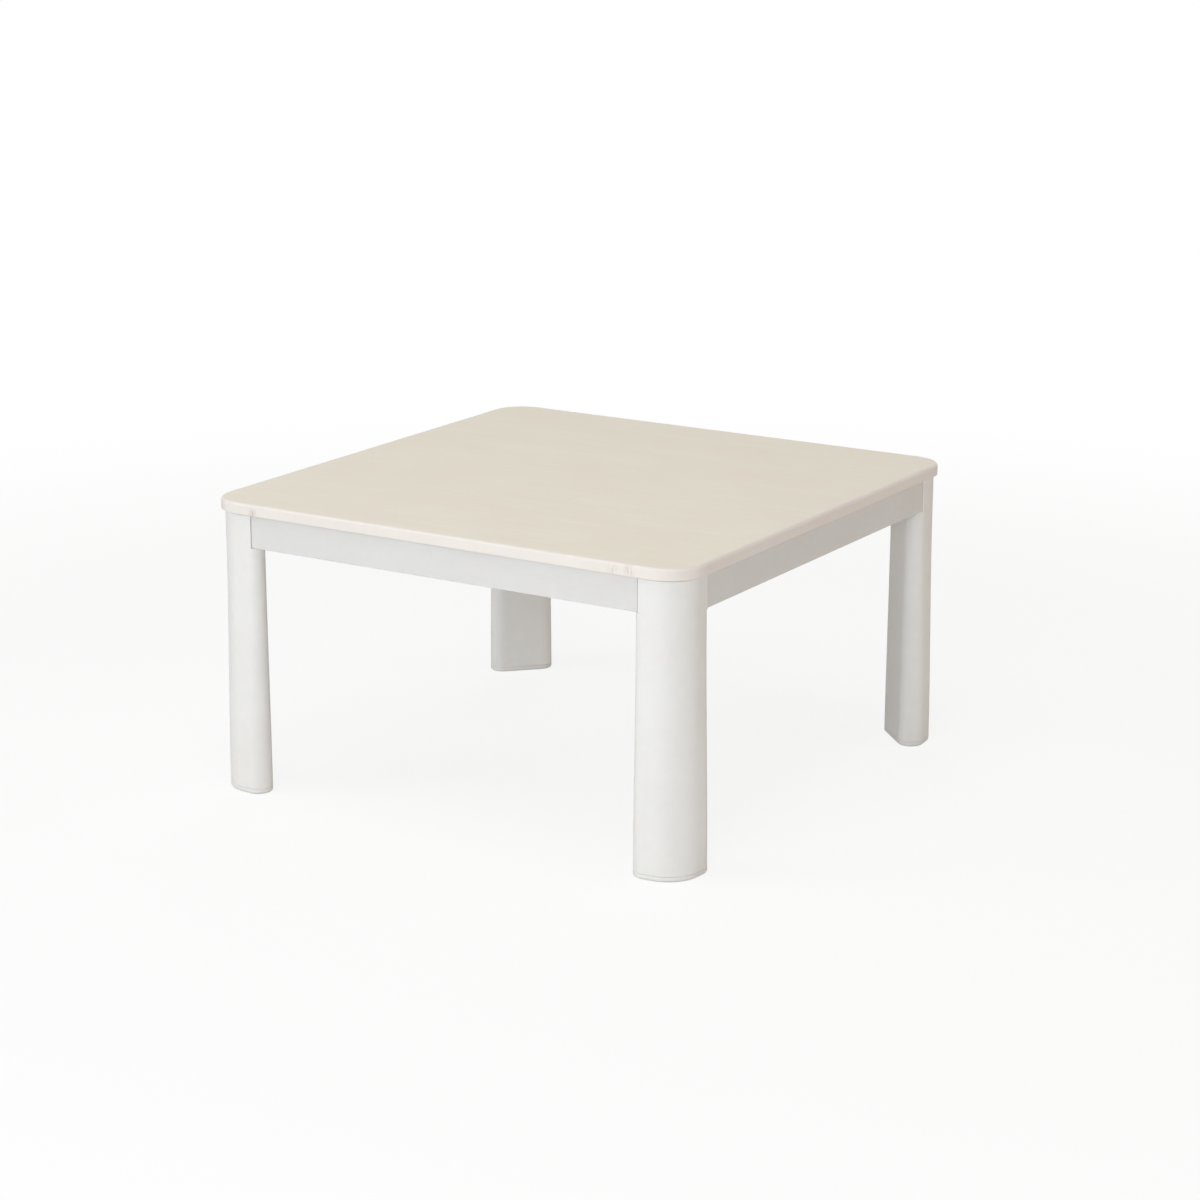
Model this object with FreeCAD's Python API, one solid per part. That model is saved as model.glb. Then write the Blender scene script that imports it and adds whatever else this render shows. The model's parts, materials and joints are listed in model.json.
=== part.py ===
# Square low table with a heater under its loose top.
# Millimetres. X runs along the front edge, Y towards the back, Z up from the floor.
# The origin is on the floor under the middle of the table.
import FreeCAD, Part
import math
import os

V = FreeCAD.Vector
OUT = "parts"

# Overall size
table_width = 700.0
table_depth = 700.0
table_height = 385.0
overrun = 5.0              # how far a cutting tool runs past the face it cuts
seat_gap = 0.2             # clearance between pieces that sit against each other
hole_clearance = 0.1       # radial room round a screw, dowel or lead

# Tabletop: a board with a sheet on each face and a band round its edge
top_thickness = 15.0
top_corner_radius = 45.0
surface_sheet = 0.8
underside_sheet = 0.8
edge_band = 4.5
edge_rounding = 4.0        # of the band's upper edge
edge_easing = 0.8          # of its lower edge

# Rubber pads that the loose top rests on
top_gap = 1.0
pad_radius = 6.0
pad_place_share = 0.6      # pad's distance from the middle of a rail, of half the rail

# Legs: hollow mouldings, a rounded outer corner and a flat inner face
leg_overhang = 5.0         # table edge beyond the leg's outer face at its top
leg_width = 68.0           # along each side of the table, at the top
leg_corner_radius = 40.0
leg_end_radius = 14.0
leg_flare = 5.0            # how far each outer side grows out towards the floor
leg_corner_growth = 4.0    # growth of the outer corner's radius towards the floor
leg_end_growth = 4.0       # growth of the end radius
leg_inner_growth = 1.4     # how far the inner face moves inwards
leg_wall = 3.0
leg_top_drop = 0.5         # leg's top below the rails' top
leg_shoulder_gap = 0.8     # rail's underside to the leg's shoulder
leg_head_rounding = 0.8    # upright edges beside the rails
leg_seam = 60.0            # leg's outer corner to the rail's end
flare_start_share = 0.15   # where the flare begins, of the leg's height from its top
leg_section_count = 8
boss_radius = 9.0
boss_length = 24.0

# Foot caps that close the legs
foot_height = 7.0
foot_rounding = 3.0
foot_spigot = 12.0

# Rails under the top's edges
rail_height = 42.0
rail_thickness = 18.0
rail_setback = 0.7         # rail's face behind the leg's face
rail_end_gap = 0.8
rail_edge_radius = 1.0

# Inner bars that cross the frame and carry the heater
bar_width = 20.0
heater_opening = 300.0
dowel_radius = 4.0
dowel_length = 30.0
dowel_depth_share = 0.4    # share of a dowel in the piece that the bar meets
dowel_spread_share = 0.25  # dowel's distance from the bar's middle, of its height

# Steel plates across the frame's corners, with the bolts that hold the legs
plate_sheet = 2.0
plate_height = 34.0
plate_tab = 32.0
plate_bend = 3.0
bolt_radius = 4.0
bolt_tail = 7.0            # bolt's end beyond the wing nut
insert_radius = 6.0
insert_length = 18.0
washer_radius = 9.0
washer_thickness = 1.6
nut_hub_radius = 7.5
nut_hub_height = 9.0
wing_span = 34.0
wing_height = 16.0
wing_thickness = 3.0

# Wood screws
wood_screw_radius = 1.75
wood_screw_length = 14.0
wood_screw_head = 3.6
wood_screw_head_height = 2.2
mount_screw_radius = 2.0
mount_screw_length = 16.0
mount_screw_head = 4.5
mount_screw_head_height = 2.5
mount_screw_share = 0.8    # screw's distance from the middle, of half the opening

# Heater housing: a steel pan, open at the bottom, with a flange under the bars
sheet_steel = 1.0
pan_clearance = 4.0        # pan to bar
pan_flange = 19.0
pan_vent = 4.0             # pan's top below the bars' top
vent_slot_length = 60.0
vent_slot_width = 5.0
vent_slot_count = 5
insulation = 3.0

# Reflector: a bright tray with a flat rim that closes the pan
reflector_sheet = 0.8
reflector_depth = 20.0
reflector_slope = 10.0     # how far its sides lean in
reflector_rim_lap = 6.0    # rim beyond the pan's wall
rivet_radius = 1.2
rivet_head = 2.5
rivet_head_height = 0.9
rivet_count = 4            # along each side of the rim

# Heating elements: coils in quartz tubes with ceramic end caps
tube_radius = 6.0
tube_wall = 1.0
tube_spacing = 90.0
coil_radius = 4.0
tail_radius = 1.0
cap_radius = 7.5
cap_length = 12.0
cap_socket = 8.5           # how deep the tube sits in its cap
cap_neck_radius = 3.5
end_gap = 1.4              # reflector to cap
holder_sheet = 1.0
holder_foot = 5.5
holder_margin = 15.0       # holder beyond the tubes on each side
strap_sheet = 1.0
strap_height = 4.0

# Parts on the reflector's back
thermostat_radius = 8.0
thermostat_height = 8.0
component_gap = 3.0        # free height above the thermostat
fuse_radius = 2.2
fuse_length = 12.0
terminal_width = 44.0
terminal_depth = 18.0
terminal_height = 9.0
terminal_offset = 85.0
component_offset = 50.0
lead_radius = 1.3
lead_bend = 8.0

# Inlet for the supply lead, under the pan's rim at the back
inlet_width = 40.0
inlet_height = 19.0
inlet_depth = 40.0
inlet_gap = 1.5            # inlet to guard ring
socket_width = 32.0
socket_height = 13.0
socket_depth = 18.0
pin_radius = 2.0
pin_spacing = 16.0
pin_length = 14.5
pin_root = 6.5             # pin's thicker end in the housing
pin_root_radius = 2.6
lug_width = 10.0
lug_height = 3.0

# Guard: a bulged grille held by a steel ring
guard_ring_width = 9.0
guard_ring_sheet = 1.5
guard_gap = 0.6            # grille to ring
guard_wire = 1.6
guard_bulge = 18.0
guard_lean = 11.0
guard_pitch = 20.0
machine_screw_radius = 1.5
machine_screw_head = 3.0
machine_screw_head_height = 2.0
machine_screw_length = 8.0

# Heights
top_underside = table_height - top_thickness
frame_top = top_underside - top_gap
rail_bottom = frame_top - rail_height
leg_top = frame_top - leg_top_drop
leg_shoulder = rail_bottom - leg_shoulder_gap
plate_middle = frame_top - rail_height / 2

# Plan sizes
corner_x = table_width / 2 - leg_overhang
corner_y = table_depth / 2 - leg_overhang
rail_inner = rail_setback + rail_thickness
rail_inner_x = corner_x - rail_inner
rail_inner_y = corner_y - rail_inner
chord = leg_width / math.sqrt(2) + leg_end_radius
plate_face = chord + seat_gap

# Heater sizes, from the bars inwards and upwards
pan_half = heater_opening / 2 - pan_clearance
flange_half = pan_half + pan_flange
rim_half = pan_half + reflector_rim_lap
cap_space = end_gap + cap_length + holder_sheet + holder_foot + seat_gap + sheet_steel
reflector_half = pan_half - cap_space
ceiling_half = reflector_half - reflector_slope
pan_depth = (reflector_depth + reflector_sheet + thermostat_height + component_gap
             + insulation + sheet_steel)
bar_height = pan_depth + pan_vent
bar_bottom = frame_top - bar_height
pan_top = bar_bottom + pan_depth - sheet_steel
rim_top = bar_bottom - sheet_steel
rim_bottom = rim_top - reflector_sheet
ceiling = rim_bottom + reflector_depth
shelf = ceiling + reflector_sheet
tube_height = ceiling - reflector_depth / 2
cap_start = reflector_half + end_gap
cap_end = cap_start + cap_length
tube_half = cap_start + cap_socket
holder_face = cap_end + holder_sheet
lead_column = holder_face + lead_radius
tail_end = lead_column + lead_radius
lead_level = shelf + terminal_height / 2
ring_half = reflector_half + guard_ring_width
inlet_front = ring_half + inlet_gap
inlet_mouth = inlet_front + inlet_depth
inlet_lead = (inlet_front + pan_half) / 2

# The corners in order round the table, a quarter turn apart
CORNERS = ("front_left", "front_right", "back_right", "back_left")


def save(name, shape):
    """Write one piece, or a group of alike pieces, to its own file."""
    shape.exportStep(os.path.join(OUT, name + ".step"))
    print(name, "solids", len(shape.Solids), "valid", shape.isValid())


def box(low, high):
    """A block between its lowest and highest corners."""
    size = V(*high) - V(*low)
    return Part.makeBox(size.x, size.y, size.z, V(*low))


def rod(start, direction, radius, length):
    """A cylinder from a start point along a direction."""
    return Part.makeCylinder(radius, length, V(*start), V(*direction))


def centred(half_x, half_y, low, high):
    """A block about the vertical axis between two heights."""
    return box((-half_x, -half_y, low), (half_x, half_y, high))


def group(shapes):
    """Separate alike solids in one node."""
    return Part.makeCompound(shapes)


def corner_frame(corner):
    """The placement of a leg's own axes at one corner of the table."""
    x = corner_x if corner.endswith("right") else -corner_x
    y = corner_y if corner.startswith("back") else -corner_y
    turn = FreeCAD.Rotation(V(0, 0, 1), 90 * CORNERS.index(corner))
    return FreeCAD.Placement(V(x, y, 0), turn)


def at_corner(shape, corner):
    """Place a shape made in a leg's own axes at one corner of the table."""
    placed = shape.copy()
    placed.Placement = corner_frame(corner).multiply(placed.Placement)
    return placed


def rounded_plate(half_x, half_y, radius, low, high):
    """A rectangular slab with rounded corners."""
    slab = centred(half_x, half_y, low, high)
    upright = [e for e in slab.Edges if abs(e.Vertexes[0].Z - e.Vertexes[-1].Z) > high / 2 - low / 2]
    return slab.makeFillet(radius, upright)


def tray(half_low, half_high, low, high):
    """A solid square tray shape whose sides lean between two heights."""
    wires = []
    for half, z in ((half_low, low), (half_high, high)):
        points = [V(-half, -half, z), V(half, -half, z), V(half, half, z), V(-half, half, z)]
        wires.append(Part.makePolygon(points + points[:1]))
    return Part.makeLoft(wires, True, True)


def headed_pin(start, direction, radius, length, head, head_height):
    """A screw or rivet: its head sits at start, its shank runs along direction."""
    back = V(*start) - V(*direction) * head_height
    shank = rod(start, direction, radius, length)
    crown = Part.makeCylinder(head, head_height, back, V(*direction))
    return shank.fuse(crown).removeSplitter()


# Tabletop

def tabletop():
    """Board, two face sheets and the band round them."""
    half_x = table_width / 2
    half_y = table_depth / 2
    inner = (half_x - edge_band, half_y - edge_band, top_corner_radius - edge_band)
    core_low = top_underside + underside_sheet
    core_high = table_height - surface_sheet
    save("tabletop_core", rounded_plate(*inner, core_low, core_high))
    save("tabletop_surface_sheet", rounded_plate(*inner, core_high, table_height))
    save("tabletop_underside_sheet", rounded_plate(*inner, top_underside, core_low))
    band = rounded_plate(half_x, half_y, top_corner_radius, top_underside, table_height)
    band = band.makeFillet(edge_rounding, edges_at(band, table_height))
    band = band.makeFillet(edge_easing, edges_at(band, top_underside))
    hole = rounded_plate(*inner, top_underside - overrun, table_height + overrun)
    save("tabletop_edge_band", band.cut(hole))


def edges_at(slab, height):
    """Edges of a slab that lie at one height."""
    return [e for e in slab.Edges
            if abs(e.BoundBox.ZMin - height) < seat_gap and abs(e.BoundBox.ZMax - height) < seat_gap]


def top_pads():
    """Soft pads on the rails, under the loose top."""
    pads = []
    height = top_gap - seat_gap
    line_x = corner_x - rail_setback - rail_thickness / 2
    line_y = corner_y - rail_setback - rail_thickness / 2
    for side in (-1, 1):
        for end in (-1, 1):
            along_x = end * (corner_x - leg_seam) * pad_place_share
            along_y = end * (corner_y - leg_seam) * pad_place_share
            pads.append(rod((along_x, side * line_y, frame_top), (0, 0, 1), pad_radius, height))
            pads.append(rod((side * line_x, along_y, frame_top), (0, 0, 1), pad_radius, height))
    save("tabletop_pads", group(pads))


# Legs. A leg is drawn with its outer corner at the origin and its sides along +X and +Y.

def arc_from(centre, radius, start, end, z):
    """An arc about a centre between two angles in degrees."""
    turns = [math.radians(a) for a in (start, (start + end) / 2, end)]
    points = [V(centre[0] + radius * math.cos(t), centre[1] + radius * math.sin(t), z) for t in turns]
    return Part.Arc(*points).toShape()


def leg_outline(share, inset, z):
    """The leg's section, drawn in by inset: a round outer corner, two round ends, a flat inner face."""
    end_radius = leg_end_radius + leg_end_growth * share
    corner_radius = leg_corner_radius + leg_corner_growth * share
    inner_face = chord + leg_inner_growth * share
    near = end_radius - leg_flare * share
    far = math.sqrt(2) * (inner_face - end_radius) - near
    bend = leg_corner_radius
    reach = math.hypot(far - bend, near - bend)
    tangent = math.atan2(near - bend, far - bend) - math.acos((corner_radius - end_radius) / reach)
    lean = math.degrees(tangent)
    arcs = [
        arc_from((bend, bend), corner_radius - inset, 90 - lean, 360 + lean, z),
        arc_from((far, near), end_radius - inset, lean, 45, z),
        arc_from((near, far), end_radius - inset, 45, 90 - lean, z),
    ]
    ends = [(a.Vertexes[0].Point, a.Vertexes[-1].Point) for a in arcs]
    edges = []
    for i, arc in enumerate(arcs):
        edges.append(arc)
        edges.append(Part.makeLine(ends[i][1], ends[(i + 1) % len(arcs)][0]))
    return Part.Wire(edges)


def flare_at(z):
    """The share of the leg's flare at a height: none near its top, smooth, all of it at the floor."""
    down = (leg_top - z) / leg_top
    part = min(max((down - flare_start_share) / (1 - flare_start_share), 0), 1)
    return part * part * (3 - 2 * part)


def leg_column(inset, low, high):
    """The flared column below the rails."""
    step = (high - low) / (leg_section_count - 1)
    heights = [low + step * i for i in range(leg_section_count)]
    return Part.makeLoft([leg_outline(flare_at(z), inset, z) for z in heights], True, False)


def leg_head(inset, low, high):
    """The upper block between the rail ends, with square ends and a flat inner face."""
    end = leg_seam - inset
    far = math.sqrt(2) * (chord - inset) - end
    bend = leg_corner_radius
    ease = leg_head_rounding
    arcs = [
        arc_from((bend, bend), bend - inset, 180, 270, low),
        arc_from((end - ease, inset + ease), ease, -90, 0, low),
        arc_from((inset + ease, end - ease), ease, 90, 180, low),
    ]
    points = [V(bend, inset, low), V(end - ease, inset, low), V(end, inset + ease, low), V(end, far, low),
              V(far, end, low), V(inset + ease, end, low), V(inset, end - ease, low), V(inset, bend, low)]
    sides = [Part.makeLine(points[i], points[i + 1]) for i in (0, 2, 3, 4, 6)]
    edges = [arcs[0], sides[0], arcs[1], sides[1], sides[2], sides[3], arcs[2], sides[4]]
    return Part.Face(Part.Wire(edges)).extrude(V(0, 0, high - low))


def diagonal_rod(start, radius, length):
    """A cylinder along the leg's diagonal at the bolt's height."""
    place = start / math.sqrt(2)
    return rod((place, place, plate_middle), (1, 1, 0), radius, length)


def leg():
    """A hollow leg with a boss for its threaded insert."""
    shell = leg_column(0, foot_height, leg_shoulder).fuse(leg_head(0, leg_shoulder, leg_top))
    roof = leg_shoulder - leg_wall
    hollow = leg_column(leg_wall, foot_height, roof)
    hollow = hollow.fuse(leg_head(leg_wall, roof - overrun, leg_top - leg_wall))
    hollow = hollow.cut(diagonal_rod(chord - boss_length, boss_radius, boss_length))
    bore = diagonal_rod(chord - insert_length, insert_radius, insert_length + overrun)
    return shell.cut(hollow).cut(bore).removeSplitter()


def foot():
    """A cap with a rounded lower edge and a spigot inside the leg."""
    outline = Part.Face(leg_outline(1, 0, 0))
    sole = outline.extrude(V(0, 0, foot_height - seat_gap))
    rim = [e for e in sole.Edges if e.BoundBox.ZMax < seat_gap]
    sole = sole.makeFillet(foot_rounding, rim)
    share = flare_at(foot_height + foot_spigot)
    base = foot_height / 2
    top = foot_height + foot_spigot
    spigot = Part.Face(leg_outline(share, leg_wall + seat_gap, base)).extrude(V(0, 0, top - base))
    recess = Part.Face(leg_outline(share, 2 * leg_wall, base)).extrude(V(0, 0, top))
    return sole.fuse(spigot).cut(recess).removeSplitter()


def legs():
    """Four legs with their foot caps."""
    post = leg()
    cap = foot()
    for corner in CORNERS:
        save("leg_" + corner, at_corner(post, corner))
        save("foot_cap_" + corner, at_corner(cap, corner))


# Corner plates and leg bolts, in the same axes as a leg

def corner_plate():
    """A steel strip across the corner with a tab along each rail."""
    inner = rail_inner + seat_gap
    diagonal = math.sqrt(2) * plate_face
    bend = diagonal - inner
    back = inner + plate_sheet
    back_bend = diagonal + math.sqrt(2) * plate_sheet - back
    tip = bend + plate_tab
    low = plate_middle - plate_height / 2
    half = [(tip, inner), (bend, inner)]
    back_half = [(back_bend, back), (tip, back)]
    outline = half + [(y, x) for x, y in reversed(half)]
    outline += [(y, x) for x, y in reversed(back_half)] + back_half
    points = [V(x, y, low) for x, y in outline]
    strip = Part.Face(Part.makePolygon(points + points[:1])).extrude(V(0, 0, plate_height))
    for radius, x, y in ((plate_bend + plate_sheet, bend, inner), (plate_bend, back_bend, back)):
        folds = [e for e in strip.Edges if upright_at(e, x, y) or upright_at(e, y, x)]
        strip = strip.makeFillet(radius, folds)
    strip = strip.cut(diagonal_rod(plate_face - overrun, bolt_radius + hole_clearance, 3 * overrun))
    for place in tab_holes():
        tool = rod((place, inner - overrun, plate_middle), (0, 1, 0),
                   wood_screw_radius + hole_clearance, plate_sheet + 2 * overrun)
        strip = strip.cut(tool).cut(mirrored(tool))
    return strip


def upright_at(edge, x, y):
    """True for a vertical edge at a place in plan."""
    a, b = edge.Vertexes[0].Point, edge.Vertexes[-1].Point
    return (abs(a.x - x) + abs(a.y - y) + abs(b.x - x) + abs(b.y - y)) < hole_clearance


def mirrored(shape):
    """The same shape on the leg's other side."""
    return shape.mirror(V(0, 0, 0), V(1, -1, 0))


def tab_holes():
    """Places of the two screws along a plate's tab."""
    bend = math.sqrt(2) * plate_face - rail_inner
    margin = 2 * wood_screw_head
    return (bend + margin, bend + plate_tab - margin)


def plate_screws():
    """The screws of one corner plate."""
    start = rail_inner + seat_gap + plate_sheet
    screws = []
    for place in tab_holes():
        screw = headed_pin((place, start, plate_middle), (0, -1, 0), wood_screw_radius,
                           wood_screw_length, wood_screw_head, wood_screw_head_height)
        screws += [screw, mirrored(screw)]
    return screws


def leg_insert():
    """A threaded sleeve in the leg's boss."""
    sleeve = diagonal_rod(chord - insert_length, insert_radius, insert_length)
    bore = diagonal_rod(chord - insert_length + plate_sheet, bolt_radius, insert_length)
    return sleeve.cut(bore)


def leg_bolt():
    """A headless bolt from the insert through the plate, washer and nut."""
    start = chord - insert_length + plate_sheet + seat_gap
    end = plate_face + plate_sheet + washer_thickness + nut_hub_height + bolt_tail
    return diagonal_rod(start, bolt_radius - hole_clearance / 2, end - start)


def leg_washer():
    """A washer on the plate's inner face."""
    start = plate_face + plate_sheet
    disc = diagonal_rod(start, washer_radius, washer_thickness)
    return disc.cut(diagonal_rod(start - overrun, bolt_radius, 3 * overrun))


def wing_nut():
    """A hub with two wings, tightened by hand."""
    start = plate_face + plate_sheet + washer_thickness
    hub = Part.makeCone(nut_hub_radius, nut_hub_radius - wing_thickness / 2, nut_hub_height)
    blade = box((-wing_span / 2, -wing_thickness / 2, nut_hub_height / 3),
                (wing_span / 2, wing_thickness / 2, wing_height))
    tips = [e for e in blade.Edges if abs(e.BoundBox.YLength) > wing_thickness / 2]
    blade = blade.makeFillet(wing_thickness, tips)
    gap = nut_hub_radius - wing_thickness / 2
    blade = blade.cut(box((-gap, -wing_span, nut_hub_height), (gap, wing_span, wing_height + overrun)))
    nut = hub.fuse(blade)
    nut = nut.cut(rod((0, 0, -overrun), (0, 0, 1), bolt_radius, wing_height + 2 * overrun))
    nut.rotate(V(0, 0, 0), V(0, 1, 0), 90)
    nut.rotate(V(0, 0, 0), V(0, 0, 1), 45)
    place = start / math.sqrt(2)
    nut.translate(V(place, place, plate_middle))
    return nut.removeSplitter()


def corner_hardware():
    """Plates and the groups of alike fasteners at the four corners."""
    plate = corner_plate()
    for corner in CORNERS:
        save("corner_plate_" + corner, at_corner(plate, corner))
    kinds = {
        "corner_plate_screws": plate_screws(),
        "leg_inserts": [leg_insert()],
        "leg_bolts": [leg_bolt()],
        "leg_bolt_washers": [leg_washer()],
        "leg_wing_nuts": [wing_nut()],
    }
    for name, shapes in kinds.items():
        save(name, group([at_corner(shape, corner) for corner in CORNERS for shape in shapes]))


# Rails and bars of the frame

def dowel_places():
    """Each dowel as a start point and the direction in which it enters its bar."""
    sunk = dowel_length * dowel_depth_share
    bar_middle = frame_top - bar_height / 2
    places = []
    for lift in (-1, 1):
        z = bar_middle + lift * bar_height * dowel_spread_share
        for side in (-1, 1):
            bar_x = side * (heater_opening + bar_width) / 2
            bar_y = side * (heater_opening + bar_width) / 2
            for end in (-1, 1):
                places.append(((bar_x, end * (rail_inner_y + sunk), z), (0, -end, 0)))
                places.append(((end * (heater_opening / 2 + sunk), bar_y, z), (-end, 0, 0)))
    return places


def drill(shape, places, radius, length):
    """Cut round holes that start a little behind each place."""
    for start, direction in places:
        back = V(*start) - V(*direction) * seat_gap
        shape = shape.cut(rod(back, direction, radius, length + 2 * seat_gap))
    return shape


def near(shape, places, length):
    """The places whose pins reach into a shape's box."""
    bounds = shape.BoundBox
    hits = []
    for start, direction in places:
        end = V(*start) + V(*direction) * length
        line = FreeCAD.BoundBox(min(start[0], end.x), min(start[1], end.y), min(start[2], end.z),
                                max(start[0], end.x), max(start[1], end.y), max(start[2], end.z))
        if bounds.intersect(line):
            hits.append((start, direction))
    return hits


def plate_screw_places():
    """Every corner plate screw as a start point and a direction, in the table's axes."""
    places = []
    start = rail_inner + seat_gap + plate_sheet
    for corner in CORNERS:
        frame = corner_frame(corner)
        for place in tab_holes():
            for point, way in ((V(place, start, plate_middle), V(0, -1, 0)),
                               (V(start, place, plate_middle), V(-1, 0, 0))):
                spot = frame.multVec(point)
                aim = frame.Rotation.multVec(way)
                places.append(((spot.x, spot.y, spot.z), (aim.x, aim.y, aim.z)))
    return places


def finish_rail(slab):
    """Ease the edges of a rail's outer face, then drill it for its screws and dowels."""
    face = max(slab.Faces, key=lambda f: f.CenterOfMass.x ** 2 + f.CenterOfMass.y ** 2
               if f.Area > rail_height * rail_height else 0)
    slab = slab.makeFillet(rail_edge_radius, face.Edges)
    screws = near(slab, plate_screw_places(), wood_screw_length)
    slab = drill(slab, screws, wood_screw_radius + hole_clearance, wood_screw_length)
    dowels = near(slab, dowel_places(), dowel_length)
    return drill(slab, dowels, dowel_radius + hole_clearance, dowel_length)


def rails():
    """Four rails between the legs."""
    end_x = corner_x - leg_seam - rail_end_gap
    end_y = corner_y - leg_seam - rail_end_gap
    outer_x = corner_x - rail_setback
    outer_y = corner_y - rail_setback
    front = box((-end_x, -outer_y, rail_bottom), (end_x, -rail_inner_y, frame_top))
    back = box((-end_x, rail_inner_y, rail_bottom), (end_x, outer_y, frame_top))
    left = box((-outer_x, -end_y, rail_bottom), (-rail_inner_x, end_y, frame_top))
    right = box((rail_inner_x, -end_y, rail_bottom), (outer_x, end_y, frame_top))
    save("rail_front", finish_rail(front))
    save("rail_back", finish_rail(back))
    save("rail_left", finish_rail(left))
    save("rail_right", finish_rail(right))


def bars():
    """Two long bars from front to back, and two short ones between them."""
    inner = heater_opening / 2
    outer = inner + bar_width
    reach = rail_inner_y - seat_gap
    short = inner - seat_gap
    blocks = {
        "crossbar_left": box((-outer, -reach, bar_bottom), (-inner, reach, frame_top)),
        "crossbar_right": box((inner, -reach, bar_bottom), (outer, reach, frame_top)),
        "heater_bar_front": box((-short, -outer, bar_bottom), (short, -inner, frame_top)),
        "heater_bar_back": box((-short, inner, bar_bottom), (short, outer, frame_top)),
    }
    for name, block in blocks.items():
        dowels = near(block, dowel_places(), dowel_length)
        screws = near(block, mount_screw_places(), mount_screw_length)
        block = drill(block, dowels, dowel_radius + hole_clearance, dowel_length)
        save(name, drill(block, screws, mount_screw_radius + hole_clearance, mount_screw_length))
    dowels = [rod(start, way, dowel_radius, dowel_length) for start, way in dowel_places()]
    save("frame_dowels", group(dowels))


def mount_screw_places():
    """Screws that hold the heater's flange up to the long bars."""
    x = (heater_opening + bar_width) / 2
    y = heater_opening / 2 * mount_screw_share
    return [((a * x, b * y, rim_top), (0, 0, 1)) for a in (-1, 1) for b in (-1, 1)]


# Heater unit

def heater_housing():
    """A pan with vent slots in its roof and a flange round its open bottom."""
    shell = centred(pan_half, pan_half, rim_top, pan_top + sheet_steel)
    shell = shell.fuse(centred(flange_half, flange_half, rim_top, bar_bottom))
    inner = pan_half - sheet_steel
    shell = shell.cut(centred(inner, inner, rim_top - overrun, pan_top))
    for i in range(vent_slot_count):
        y = (i - (vent_slot_count - 1) / 2) * 2 * pan_half / vent_slot_count
        for side in (-1, 1):
            x = side * pan_half / 2
            slot = box((x - vent_slot_length / 2, y - vent_slot_width / 2, pan_top - overrun),
                       (x + vent_slot_length / 2, y + vent_slot_width / 2, pan_top + overrun))
            shell = shell.cut(slot)
    shell = drill(shell, mount_screw_places(), mount_screw_radius + hole_clearance, sheet_steel)
    shell = drill(shell, rim_rivet_places(), rivet_radius, 2 * sheet_steel)
    save("heater_housing", shell.removeSplitter())
    half = inner - seat_gap
    board = centred(half, half, pan_top - insulation, pan_top)
    save("heater_insulation", board)


def rim_rivet_places():
    """Rivets that join the reflector's rim to the housing's flange."""
    line = pan_half + pan_clearance / 2
    places = []
    for i in range(rivet_count):
        along = (i - (rivet_count - 1) / 2) * pan_half / rivet_count * 2
        for side in (-1, 1):
            places.append(((along, side * line, rim_bottom), (0, 0, 1)))
            places.append(((side * line, along, rim_bottom), (0, 0, 1)))
    return places


def ring_screw_places():
    """Screws at the guard ring's corners."""
    line = reflector_half + guard_ring_width / 2
    z = rim_bottom - guard_ring_sheet
    return [((a * line, b * line, z), (0, 0, 1)) for a in (-1, 1) for b in (-1, 1)]


def holder_rivet_places():
    """Rivets through each tube holder's foot and the reflector's rim."""
    x = holder_face + holder_foot / 2
    y = tube_spacing / 4
    return [((a * x, b * y, rim_bottom), (0, 0, 1)) for a in (-1, 1) for b in (-1, 1)]


def inlet_screw_places():
    """Screws through the inlet's side lugs."""
    x = inlet_width / 2 + lug_width / 2
    y = (inlet_front + pan_half) / 2
    return [((a * x, y, rim_bottom - lug_height), (0, 0, 1)) for a in (-1, 1)]


def lead_hole_places():
    """Where the two supply leads pass up through the rim."""
    return [((a * pin_spacing / 2, inlet_lead, rim_bottom), (0, 0, 1)) for a in (-1, 1)]


def reflector():
    """A bright tray that opens downwards, with its rim drilled for what it carries."""
    lean = reflector_slope / reflector_depth
    grown = reflector_half + reflector_sheet * lean
    shell = tray(grown + reflector_sheet, ceiling_half + reflector_sheet, rim_bottom, shelf)
    shell = shell.fuse(centred(rim_half, rim_half, rim_bottom, rim_top))
    shell = shell.cut(tray(reflector_half, ceiling_half, rim_bottom, ceiling))
    for side in (-1, 1):
        y = side * tube_spacing / 2
        shell = shell.cut(rod((-pan_half, y, tube_height), (1, 0, 0), tube_radius + seat_gap, 2 * pan_half))
    rim = 2 * reflector_sheet
    shell = drill(shell, rim_rivet_places() + holder_rivet_places(), rivet_radius, rim)
    shell = drill(shell, ring_screw_places(), machine_screw_radius, machine_screw_length)
    shell = drill(shell, inlet_screw_places(), machine_screw_radius, machine_screw_length)
    shell = drill(shell, lead_hole_places(), lead_radius + 5 * hole_clearance, rim)
    save("heater_reflector", shell.removeSplitter())


def rivets():
    """Rim rivets with a small upper head, and the tube holders' rivets."""
    rim = reflector_sheet + sheet_steel
    upper = pan_clearance / 2 - seat_gap
    shapes = []
    for start, way in rim_rivet_places():
        shapes.append(rivet(start, way, rim, upper))
    save("reflector_rivets", group(shapes))
    grip = reflector_sheet + holder_sheet
    save("tube_holder_rivets", group([rivet(s, w, grip, rivet_head) for s, w in holder_rivet_places()]))


def rivet(start, way, grip, upper):
    """A rivet with its factory head below and its formed head above."""
    pin = headed_pin(start, way, rivet_radius, grip, rivet_head, rivet_head_height)
    top = V(*start) + V(*way) * grip
    return pin.fuse(Part.makeCylinder(upper, rivet_head_height, top, V(*way))).removeSplitter()


def tube_names():
    """The two tubes by name, with their places across the heater."""
    return (("front", -tube_spacing / 2), ("back", tube_spacing / 2))


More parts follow.
